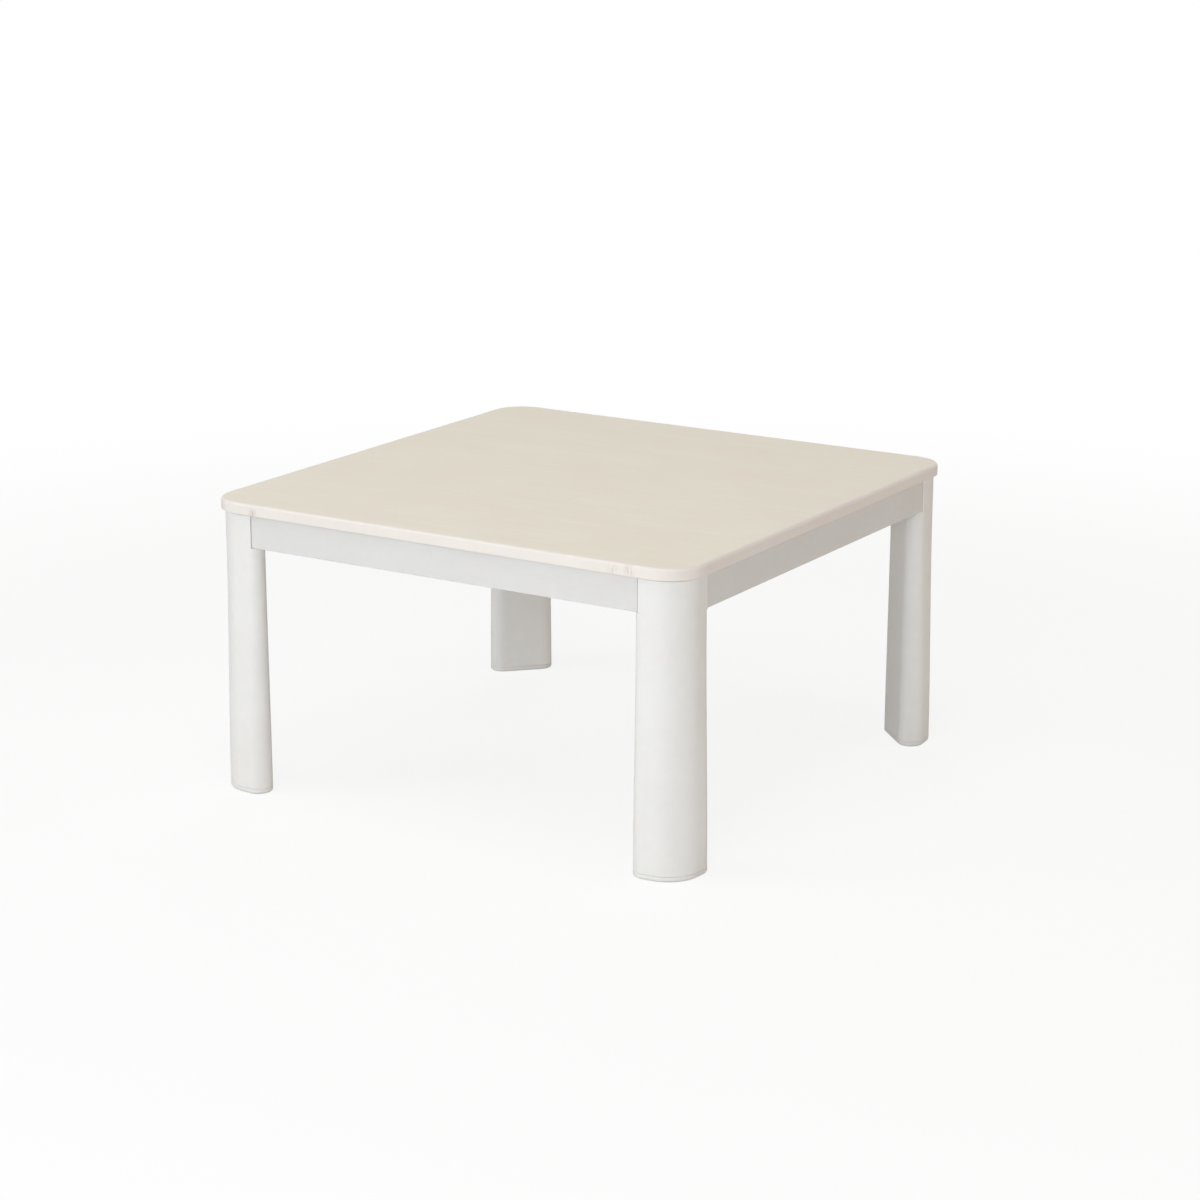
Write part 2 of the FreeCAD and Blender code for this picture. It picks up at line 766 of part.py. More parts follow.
def quartz_tubes():
    """Tubes, the coils in them and the ceramic caps on their ends."""
    caps = []
    for name, y in tube_names():
        start = (-tube_half, y, tube_height)
        tube = rod(start, (1, 0, 0), tube_radius, 2 * tube_half)
        tube = tube.cut(rod(start, (1, 0, 0), tube_radius - tube_wall, 2 * tube_half))
        save("quartz_tube_" + name, tube)
        coil_half = tube_half - seat_gap
        coil = rod((-coil_half, y, tube_height), (1, 0, 0), coil_radius, 2 * coil_half)
        tail = rod((-tail_end, y, tube_height), (1, 0, 0), tail_radius, 2 * tail_end)
        save("heating_coil_" + name, coil.fuse(tail).removeSplitter())
        for side in (-1, 1):
            caps.append(end_cap(side, y))
    save("quartz_tube_caps", group(caps))


def end_cap(side, y):
    """A ceramic cap with a socket for the tube and a neck for the holder."""
    way = (side, 0, 0)
    cap = rod((side * cap_start, y, tube_height), way, cap_radius, cap_length)
    cap = cap.fuse(rod((side * cap_end, y, tube_height), way, cap_neck_radius, holder_sheet))
    cap = cap.cut(rod((side * cap_start, y, tube_height), way, tube_radius, cap_socket))
    return cap.cut(rod((side * cap_start, y, tube_height), way, tail_radius, cap_length + overrun))


def tube_holders():
    """A bent steel strip at each end of the tubes, and the strap that joins their tails."""
    reach = tube_spacing / 2 + holder_margin
    top = tube_height + cap_radius
    for name, side in (("left", -1), ("right", 1)):
        xs = sorted((side * cap_end, side * holder_face))
        feet = sorted((side * cap_end, side * (holder_face + holder_foot)))
        strip = box((xs[0], -reach, rim_top), (xs[1], reach, top))
        strip = strip.fuse(box((feet[0], -reach, rim_top), (feet[1], reach, rim_top + holder_sheet)))
        for _, y in tube_names():
            strip = strip.cut(rod((-tail_end, y, tube_height), (1, 0, 0), cap_neck_radius, 2 * tail_end))
        strip = drill(strip, holder_rivet_places(), rivet_radius, 2 * holder_sheet + reflector_sheet)
        save("tube_holder_" + name, strip.removeSplitter())
        line = sorted((side * tail_end, side * (tail_end + strap_sheet)))
        half = tube_spacing / 2 + strap_height / 2
        strap = box((line[0], -half, tube_height - strap_height / 2),
                    (line[1], half, tube_height + strap_height / 2))
        save("tail_strap_" + name, strap)


def heater_controls():
    """Thermostat, thermal fuse and terminal block on the reflector's back."""
    y = tube_spacing / 2
    save("thermostat", rod((-component_offset, y, shelf), (0, 0, 1), thermostat_radius, thermostat_height))
    fuse = rod((component_offset - fuse_length / 2, y, lead_level), (1, 0, 0), fuse_radius, fuse_length)
    stand = box((component_offset - fuse_length / 4, y - fuse_radius, shelf),
                (component_offset + fuse_length / 4, y + fuse_radius, lead_level))
    save("thermal_fuse", fuse.fuse(stand).removeSplitter())
    block = box((-terminal_width / 2, terminal_offset - terminal_depth / 2, shelf),
                (terminal_width / 2, terminal_offset + terminal_depth / 2, shelf + terminal_height))
    save("terminal_block", block)


def lead(points):
    """A round lead along straight runs joined by arcs."""
    corners = [V(*p) for p in points]
    edges = []
    start = corners[0]
    for before, corner, after in zip(corners, corners[1:], corners[2:]):
        into = (corner - before).normalize()
        out = (after - corner).normalize()
        first = corner - into * lead_bend
        last = corner + out * lead_bend
        middle = corner + (out - into) * lead_bend * (1 - 1 / math.sqrt(2))
        edges.append(Part.makeLine(start, first))
        edges.append(Part.Arc(first, middle, last).toShape())
        start = last
    edges.append(Part.makeLine(start, corners[-1]))
    spine = Part.Wire(edges)
    ring = Part.Circle(corners[0], corners[1] - corners[0], lead_radius).toShape()
    return spine.makePipeShell([Part.Wire([ring])], True, False)


def heater_leads():
    """Leads from the inlet to the block, and on to the controls and the tubes."""
    y = tube_spacing / 2
    block_back = terminal_offset + terminal_depth / 2
    block_side = terminal_width / 2
    drop = tube_height + tail_radius
    fuse_start = component_offset - fuse_length / 2
    fuse_end = component_offset + fuse_length / 2
    turn = (block_side + fuse_start) / 2
    leads = []
    for side in (-1, 1):
        x = side * pin_spacing / 2
        leads.append(lead([(x, inlet_lead, rim_bottom), (x, inlet_lead, lead_level),
                           (x, block_back, lead_level)]))
    leads.append(lead([(-block_side, terminal_offset, lead_level),
                       (-component_offset, terminal_offset, lead_level),
                       (-component_offset, y + thermostat_radius, lead_level)]))
    leads.append(lead([(block_side, terminal_offset, lead_level), (turn, terminal_offset, lead_level),
                       (turn, y, lead_level), (fuse_start, y, lead_level)]))
    leads.append(lead([(-component_offset - thermostat_radius, y, lead_level),
                       (-lead_column, y, lead_level), (-lead_column, y, drop)]))
    leads.append(lead([(fuse_end, y, lead_level), (lead_column, y, lead_level), (lead_column, y, drop)]))
    save("heater_leads", group(leads))


def inlet():
    """A socket with two pins that faces the back under the bars."""
    half = inlet_width / 2
    low = rim_bottom - inlet_height
    body = box((-half, inlet_front, low), (half, inlet_mouth, rim_bottom))
    wide = half + lug_width
    lug_back = inlet_front + 2 * (inlet_lead - inlet_front)
    body = body.fuse(box((-wide, inlet_front, rim_bottom - lug_height), (wide, lug_back, rim_bottom)))
    middle = low + inlet_height / 2
    body = body.cut(box((-socket_width / 2, inlet_mouth - socket_depth, middle - socket_height / 2),
                        (socket_width / 2, inlet_mouth + overrun, middle + socket_height / 2)))
    floor = inlet_mouth - socket_depth
    pins = []
    for side in (-1, 1):
        x = side * pin_spacing / 2
        root = rod((x, floor - pin_root, middle), (0, 1, 0), pin_root_radius, pin_root)
        pins.append(root.fuse(rod((x, floor, middle), (0, 1, 0), pin_radius, pin_length)))
        body = body.cut(root)
    body = drill(body, inlet_screw_places(), machine_screw_radius, lug_height)
    save("inlet_housing", body.removeSplitter())
    save("inlet_pins", group(pins))


def guard():
    """A square grille that bulges down, with the ring that holds it."""
    upper = reflector_half - guard_gap
    lower = upper - guard_lean
    floor = rim_bottom - guard_bulge
    grille = tray(lower, upper, floor, rim_bottom)
    inside = tray(lower - guard_wire, upper - guard_wire, floor + guard_wire, rim_bottom)
    grille = grille.cut(inside)
    opening = guard_pitch - guard_wire
    count = int(2 * (lower - guard_wire) / guard_pitch)
    places = [(i - (count - 1) / 2) * guard_pitch for i in range(count)]
    cuts = []
    for a in places:
        for b in places:
            cuts.append(box((a - opening / 2, b - opening / 2, floor - overrun),
                            (a + opening / 2, b + opening / 2, floor + overrun)))
        side_low = floor + 2 * guard_wire
        side_high = rim_bottom - 2 * guard_wire
        cuts.append(box((a - opening / 2, -pan_half, side_low), (a + opening / 2, pan_half, side_high)))
        cuts.append(box((-pan_half, a - opening / 2, side_low), (pan_half, a + opening / 2, side_high)))
    save("guard_grille", grille.cut(cuts).removeSplitter())
    ring_low = rim_bottom - guard_ring_sheet
    ring = centred(ring_half, ring_half, ring_low, rim_bottom)
    ring = ring.cut(centred(reflector_half, reflector_half, ring_low - overrun, rim_bottom + overrun))
    ring = drill(ring, ring_screw_places(), machine_screw_radius, guard_ring_sheet)
    save("guard_ring", ring)


def heater_screws():
    """Screws of the heater: to the bars, the guard ring and the inlet."""
    mount = [headed_pin(s, w, mount_screw_radius, mount_screw_length - sheet_steel,
                        mount_screw_head, mount_screw_head_height) for s, w in mount_screw_places()]
    save("heater_mount_screws", group(mount))
    small = (machine_screw_radius, machine_screw_length, machine_screw_head, machine_screw_head_height)
    save("guard_ring_screws", group([headed_pin(s, w, *small) for s, w in ring_screw_places()]))
    save("inlet_screws", group([headed_pin(s, w, *small) for s, w in inlet_screw_places()]))


def main():
    """Write every piece of the table."""
    os.makedirs(OUT, exist_ok=True)
    tabletop()
    top_pads()
    legs()
    corner_hardware()
    rails()
    bars()
    heater_housing()
    reflector()
    rivets()
    quartz_tubes()
    tube_holders()
    heater_controls()
    heater_leads()
    inlet()
    guard()
    heater_screws()


main()
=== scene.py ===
# Low heated table with a loose top: its finishes, wires, screws, light and camera.
# Metres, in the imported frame: X along the front edge, Y towards the back, Z up from the floor.
import json
import math
import bmesh
import bpy
import numpy as np
from mathutils import Matrix, Vector


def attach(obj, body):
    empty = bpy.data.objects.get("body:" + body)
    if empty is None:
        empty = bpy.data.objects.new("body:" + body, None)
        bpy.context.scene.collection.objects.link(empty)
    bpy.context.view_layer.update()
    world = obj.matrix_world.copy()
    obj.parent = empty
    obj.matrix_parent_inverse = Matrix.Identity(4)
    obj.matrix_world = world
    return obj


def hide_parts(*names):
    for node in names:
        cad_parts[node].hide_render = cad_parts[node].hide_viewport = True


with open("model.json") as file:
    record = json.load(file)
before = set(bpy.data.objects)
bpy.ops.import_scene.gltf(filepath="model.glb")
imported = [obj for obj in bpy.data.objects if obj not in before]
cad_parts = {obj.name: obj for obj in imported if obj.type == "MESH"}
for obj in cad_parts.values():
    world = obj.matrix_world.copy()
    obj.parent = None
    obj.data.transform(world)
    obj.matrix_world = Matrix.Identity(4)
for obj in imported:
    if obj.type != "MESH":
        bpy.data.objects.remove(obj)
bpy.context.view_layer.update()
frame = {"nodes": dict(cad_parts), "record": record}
nodes = frame["nodes"]
record = frame["record"]
print("frame loaded:", len(nodes), "nodes")


# Small helpers for node trees

def tint(r, g, b):
    # a colour read off a screen, 0 to 255, as linear light: c / 12.92, or ((c + 0.055) / 1.055) ^ 2.4
    parts = [c / 255 for c in (r, g, b)]
    return tuple(c / 12.92 if c <= 0.04045 else ((c + 0.055) / 1.055) ** 2.4 for c in parts) + (1,)


def put(tree, kind, feeds=None, **settings):
    # one node: settings are its own properties, feeds are values or links for its inputs
    node = tree.nodes.new("ShaderNode" + kind)
    for key, value in settings.items():
        setattr(node, key, value)
    for key, value in (feeds or {}).items():
        if isinstance(value, bpy.types.NodeSocket):
            tree.links.new(value, node.inputs[key])
        else:
            node.inputs[key].default_value = value
    return node


def blendColours(tree, factor, first, second):
    # a Mix node takes its colours at sockets 6 and 7 and gives the blend at socket 2
    return put(tree, "Mix", {0: factor, 6: first, 7: second}, data_type="RGBA").outputs[2]


def maths(tree, how, *values):
    return put(tree, "Math", dict(enumerate(values)), operation=how).outputs[0]


def remap(tree, value, fromLow, fromHigh, toLow=0.0, toHigh=1.0, **settings):
    feeds = {0: value, 1: fromLow, 2: fromHigh, 3: toLow, 4: toHigh}
    return put(tree, "MapRange", feeds, **settings).outputs[0]


def noiseOf(tree, vector, scale, detail=3.0, roughness=0.5):
    feeds = {"Vector": vector, "Scale": scale, "Detail": detail, "Roughness": roughness}
    return put(tree, "TexNoise", feeds).outputs[0]


def stretched(tree, vector, scale):
    return put(tree, "VectorMath", {0: vector, 1: scale}, operation="MULTIPLY").outputs[0]


def openGroup(name, inputs, outputs):
    # a shader node group with its sockets; inputs are (name, kind, value), outputs (name, kind)
    tree = bpy.data.node_groups.new(name, "ShaderNodeTree")
    for label, kind, value in inputs:
        socket = tree.interface.new_socket(label, in_out="INPUT", socket_type="NodeSocket" + kind)
        if value is not None:
            socket.default_value = value
    for label, kind in outputs:
        tree.interface.new_socket(label, in_out="OUTPUT", socket_type="NodeSocket" + kind)
    return tree, tree.nodes.new("NodeGroupInput").outputs, tree.nodes.new("NodeGroupOutput").inputs


def useGroup(tree, group, feeds):
    return put(tree, "Group", feeds, node_tree=group).outputs


# Shared effects

mottleLook = {"fineness": 9.0, "fineDetail": 2.0, "slowShare": 0.65, "spread": (0.35, 0.65)}


def buildMottle():
    # slow patches and fine ones: slowShare * noise(scale) + (1 - slowShare) * noise(fineness * scale), and
    # the middle of that, its spread, becomes 0 to 1
    look = mottleLook
    tree, takes, gives = openGroup(
        "mottle", [("Vector", "Vector", None), ("Scale", "Float", 10.0), ("Stretch", "Vector", (1, 1, 1))],
        [("Mask", "Float")])
    place = stretched(tree, takes["Vector"], takes["Stretch"])
    slow = noiseOf(tree, place, takes["Scale"])
    fineScale = maths(tree, "MULTIPLY", takes["Scale"], look["fineness"])
    fine = noiseOf(tree, place, fineScale, look["fineDetail"])
    both = maths(tree, "ADD", maths(tree, "MULTIPLY", slow, look["slowShare"]),
                 maths(tree, "MULTIPLY", fine, 1 - look["slowShare"]))
    tree.links.new(remap(tree, both, *look["spread"]), gives["Mask"])
    return tree


softEdgeLook = {"samples": 6, "turned": (0.98, 0.75), "patchDetail": 4.0, "patches": (0.42, 0.62)}


def buildSoftEdge():
    # rounds sharp edges for the light; the wear mask is where the rounded normal leaves the true one
    look = softEdgeLook
    tree, takes, gives = openGroup(
        "softEdge", [("Vector", "Vector", None), ("Radius", "Float", 0.001), ("Wear", "Float", 0.5),
                     ("Patch Scale", "Float", 60.0)],
        [("Normal", "Vector"), ("Mask", "Float")])
    bevel = put(tree, "Bevel", {"Radius": takes["Radius"]}, samples=look["samples"]).outputs[0]
    true = put(tree, "NewGeometry").outputs["True Normal"]
    along = put(tree, "VectorMath", {0: bevel, 1: true}, operation="DOT_PRODUCT").outputs["Value"]
    edge = remap(tree, along, *look["turned"])
    patch = noiseOf(tree, takes["Vector"], takes["Patch Scale"], look["patchDetail"])
    worn = maths(tree, "MULTIPLY", edge, remap(tree, patch, *look["patches"]))
    tree.links.new(bevel, gives["Normal"])
    tree.links.new(maths(tree, "MULTIPLY", worn, takes["Wear"]), gives["Mask"])
    return tree


skinLook = {"detail": 2.0, "swellScale": 14.0, "swellDetail": 1.0}


def buildSkin():
    # the fine skin of a moulding or a foil: noise at one scale plus a share of a slower swell
    look = skinLook
    tree, takes, gives = openGroup(
        "skin", [("Vector", "Vector", None), ("Scale", "Float", 900.0), ("Stretch", "Vector", (1, 1, 1)),
                 ("Swell", "Float", 0.3)],
        [("Height", "Float")])
    place = stretched(tree, takes["Vector"], takes["Stretch"])
    fine = noiseOf(tree, place, takes["Scale"], look["detail"])
    swell = noiseOf(tree, takes["Vector"], look["swellScale"], look["swellDetail"])
    height = maths(tree, "ADD", fine, maths(tree, "MULTIPLY", swell, takes["Swell"]))
    tree.links.new(height, gives["Height"])
    return tree


streaksLook = {"detail": 5.0, "roughness": 0.6, "softness": 0.3, "middle": 0.5}


def buildStreaks():
    # long thin lines: noise squeezed along one axis, sharpened round its middle into a mask
    look = streaksLook
    tree, takes, gives = openGroup(
        "streaks", [("Vector", "Vector", None), ("Scale", "Vector", (4, 160, 160)),
                    ("Sharpness", "Float", 0.5)],
        [("Mask", "Float")])
    place = stretched(tree, takes["Vector"], takes["Scale"])
    lines = noiseOf(tree, place, 1.0, look["detail"], look["roughness"])
    reach = maths(tree, "MULTIPLY", maths(tree, "SUBTRACT", 1.0, takes["Sharpness"]), look["softness"])
    low = maths(tree, "SUBTRACT", look["middle"], reach)
    high = maths(tree, "ADD", look["middle"], reach)
    mask = remap(tree, lines, low, high, interpolation_type="SMOOTHSTEP")
    tree.links.new(mask, gives["Mask"])
    return tree


def buildSpecks():
    # round specks: a cell's centre closer than a size, in the cells whose own chance passes the thinning
    tree, takes, gives = openGroup(
        "specks", [("Vector", "Vector", None), ("Scale", "Float", 400.0), ("Size", "Float", 0.25),
                   ("Thinning", "Float", 0.5)],
        [("Mask", "Float")])
    cells = put(tree, "TexVoronoi", {"Vector": takes["Vector"], "Scale": takes["Scale"]}).outputs
    near = remap(tree, cells["Distance"], takes["Size"], 0.0)
    chance = put(tree, "SeparateColor", {0: cells["Color"]}).outputs[0]
    kept = maths(tree, "GREATER_THAN", chance, takes["Thinning"])
    tree.links.new(maths(tree, "MULTIPLY", near, kept), gives["Mask"])
    return tree


floorDustLook = {"fade": 2.0, "detail": 5.0, "roughness": 0.6, "patches": (0.4, 0.7)}


def buildFloorDust():
    # scuffs and dust that fade out with height above the floor: (1 - z / reach) ^ fade * patches
    look = floorDustLook
    tree, takes, gives = openGroup(
        "floorDust", [("Vector", "Vector", None), ("Reach", "Float", 0.06), ("Scale", "Float", 40.0)],
        [("Mask", "Float")])
    height = put(tree, "SeparateXYZ", {0: takes["Vector"]}).outputs[2]
    low = maths(tree, "POWER", remap(tree, height, takes["Reach"], 0.0), look["fade"])
    patch = noiseOf(tree, takes["Vector"], takes["Scale"], look["detail"], look["roughness"])
    mask = maths(tree, "MULTIPLY", low, remap(tree, patch, *look["patches"]))
    tree.links.new(mask, gives["Mask"])
    return tree


spotMarkLook = {"stretch": (1, 1, 0.25), "detail": 3.0, "roughness": 0.6, "patches": (0.4, 0.6)}


def buildSpotMark():
    # one mark round a spot: (1 - |place - spot| / reach) * patches drawn out upwards
    look = spotMarkLook
    tree, takes, gives = openGroup(
        "spotMark", [("Vector", "Vector", None), ("Spot", "Vector", (0, 0, 0)), ("Reach", "Float", 0.01),
                   ("Scale", "Float", 400.0)],
        [("Mask", "Float")])
    between = {0: takes["Vector"], 1: takes["Spot"]}
    away = put(tree, "VectorMath", between, operation="DISTANCE").outputs["Value"]
    near = remap(tree, away, takes["Reach"], 0.0)
    place = stretched(tree, takes["Vector"], look["stretch"])
    patch = noiseOf(tree, place, takes["Scale"], look["detail"], look["roughness"])
    mask = maths(tree, "MULTIPLY", near, remap(tree, patch, *look["patches"]))
    tree.links.new(mask, gives["Mask"])
    return tree


effects = {
    "mottle": buildMottle(), "softEdge": buildSoftEdge(), "skin": buildSkin(),
    "streaks": buildStreaks(), "specks": buildSpecks(), "floorDust": buildFloorDust(),
    "spotMark": buildSpotMark(),
}
print("shared effects:", ", ".join(effects))


# Finishes

def startFinish(name):
    material = bpy.data.materials.new(name)
    material.use_nodes = True
    tree = material.node_tree
    place = put(tree, "TexCoord").outputs["Object"]
    return material, tree, place, tree.nodes["Principled BSDF"]


def closeFinish(tree, shader, colour, rough, height, normal, depth):
    # colour and roughness as worked out, and a bump over the rounded normal
    tree.links.new(colour, shader.inputs["Base Color"])
    tree.links.new(rough, shader.inputs["Roughness"])
    bump = put(tree, "Bump", {"Height": height, "Normal": normal, "Strength": 1.0, "Distance": depth})
    tree.links.new(bump.outputs[0], shader.inputs["Normal"])


def laidOver(tree, colour, mask, share, tone):
    return blendColours(tree, maths(tree, "MULTIPLY", mask, share), colour, tint(*tone))


# what a finish in paints has where it doesn't say otherwise
plainPaint = {
    "stretch": (1, 1, 1), "spotMarks": (), "wearScale": 60.0, "dustRough": 0.2, "skinStretch": (1, 1, 1),
    "swell": 0.3, "metal": 0.0, "specular": 0.5, "coat": 0.0, "coatRough": 0.1, "sheen": 0.0,
    "depthGlow": 0.0, "glowReach": 0.002}
paintSockets = {
    "Metallic": "metal", "Specular IOR Level": "specular", "Coat Weight": "coat",
    "Coat Roughness": "coatRough", "Sheen Weight": "sheen", "Subsurface Weight": "depthGlow",
    "Subsurface Scale": "glowReach"}


def paintFinish(name, look):
    # two close tones in patches; streaks, specks, darker marks round spots and floor dust where the look
    # names them; worn edges and a fine skin
    look = {**plainPaint, **look}
    material, tree, place, shader = startFinish(name)
    mask = useGroup(tree, effects["mottle"], {
        "Vector": place, "Scale": look["patches"], "Stretch": look["stretch"]})["Mask"]
    colour = blendColours(tree, mask, tint(*look["tone"]), tint(*look["otherTone"]))
    rough = remap(tree, mask, 0.0, 1.0, *look["rough"])
    if "streaks" in look:
        lines = useGroup(tree, effects["streaks"], {
            "Vector": place, "Scale": look["streaks"], "Sharpness": look["streakSharpness"]})["Mask"]
        colour = laidOver(tree, colour, lines, look["streakShare"], look["streakTone"])
    if "speckTone" in look:
        dots = useGroup(tree, effects["specks"], {
            "Vector": place, "Scale": look["speckScale"], "Size": look["speckSize"],
            "Thinning": look["speckThinning"]})["Mask"]
        colour = laidOver(tree, colour, dots, look["speckShare"], look["speckTone"])
    # a darker tone laid over round each listed spot
    for spot, reach in look["spotMarks"]:
        mark = useGroup(tree, effects["spotMark"], {
            "Vector": place, "Spot": spot, "Reach": reach, "Scale": look["spotMarkScale"]})["Mask"]
        colour = laidOver(tree, colour, mark, look["spotMarkShare"], look["spotMarkTone"])
    edge = useGroup(tree, effects["softEdge"], {
        "Vector": place, "Radius": look["edge"], "Wear": look["wear"], "Patch Scale": look["wearScale"]})
    colour = blendColours(tree, edge["Mask"], colour, tint(*look["wornTone"]))
    if "dustTone" in look:
        dust = useGroup(tree, effects["floorDust"], {
            "Vector": place, "Reach": look["dustReach"], "Scale": look["dustScale"]})["Mask"]
        colour = laidOver(tree, colour, dust, look["dustShare"], look["dustTone"])
        rough = maths(tree, "ADD", rough, maths(tree, "MULTIPLY", dust, look["dustRough"]))
    height = useGroup(tree, effects["skin"], {
        "Vector": place, "Scale": look["skin"], "Stretch": look["skinStretch"],
        "Swell": look["swell"]})["Height"]
    closeFinish(tree, shader, colour, rough, height, edge["Normal"], look["depth"])
    for socket, key in paintSockets.items():
        shader.inputs[socket].default_value = look[key]
    material.diffuse_color = tint(*look["tone"])
    return material


housingLook = {
    "tone": (176, 180, 182), "otherTone": (206, 209, 210), "cells": 95.0, "cellShare": 0.8,
    "warp": 0.008, "warpScale": 1.5, "warpDetail": 3.0, "feather": (120, 500, 300),
    "featherSharpness": 0.3, "rough": (0.3, 0.46), "edge": 0.0012, "wear": 0.4, "wearScale": 80.0,
    "wornTone": (216, 218, 219), "depth": 0.00004}


def spangleFinish(name, look):
    # zinc crystals: each cell of a warped pattern has its own brightness and gloss
    material, tree, place, shader = startFinish(name)
    swirl = put(tree, "TexNoise", {
        "Vector": place, "Scale": look["cells"] * look["warpScale"], "Detail": look["warpDetail"]})
    drift = stretched(tree, swirl.outputs["Color"], (look["warp"],) * 3)
    warped = put(tree, "VectorMath", {0: place, 1: drift}, operation="ADD").outputs[0]
    cells = put(tree, "TexVoronoi", {"Vector": warped, "Scale": look["cells"]}).outputs["Color"]
    own = put(tree, "SeparateColor", {0: cells}).outputs
    feather = useGroup(tree, effects["streaks"], {
        "Vector": place, "Scale": look["feather"], "Sharpness": look["featherSharpness"]})["Mask"]
    mask = maths(tree, "ADD", maths(tree, "MULTIPLY", own[0], look["cellShare"]),
                 maths(tree, "MULTIPLY", feather, 1 - look["cellShare"]))
    colour = blendColours(tree, mask, tint(*look["tone"]), tint(*look["otherTone"]))
    rough = remap(tree, own[1], 0.0, 1.0, *look["rough"])
    edge = useGroup(tree, effects["softEdge"], {
        "Vector": place, "Radius": look["edge"], "Wear": look["wear"], "Patch Scale": look["wearScale"]})
    colour = blendColours(tree, edge["Mask"], colour, tint(*look["wornTone"]))
    closeFinish(tree, shader, colour, rough, own[2], edge["Normal"], look["depth"])
    shader.inputs["Metallic"].default_value = 1.0
    material.diffuse_color = tint(*look["tone"])
    return material


quartzLook = {
    "tone": (247, 245, 240), "otherTone": (238, 234, 226), "lines": (3, 260, 260), "lineSharpness": 0.2,
    "rough": (0.06, 0.14), "edge": 0.0003, "wear": 0.0, "clear": 0.85, "bending": 1.46, "depth": 0.00002}


def quartzFinish(name, look):
    # milky quartz: light passes softened, with faint drawn lines along the tube
    material, tree, place, shader = startFinish(name)
    lines = useGroup(tree, effects["streaks"], {
        "Vector": place, "Scale": look["lines"], "Sharpness": look["lineSharpness"]})["Mask"]
    colour = blendColours(tree, lines, tint(*look["tone"]), tint(*look["otherTone"]))
    rough = remap(tree, lines, 0.0, 1.0, *look["rough"])
    edge = useGroup(tree, effects["softEdge"], {
        "Vector": place, "Radius": look["edge"], "Wear": look["wear"]})
    closeFinish(tree, shader, colour, rough, lines, edge["Normal"], look["depth"])
    shader.inputs["Transmission Weight"].default_value = look["clear"]
    shader.inputs["IOR"].default_value = look["bending"]
    material.diffuse_color = tint(*look["tone"])
    return material


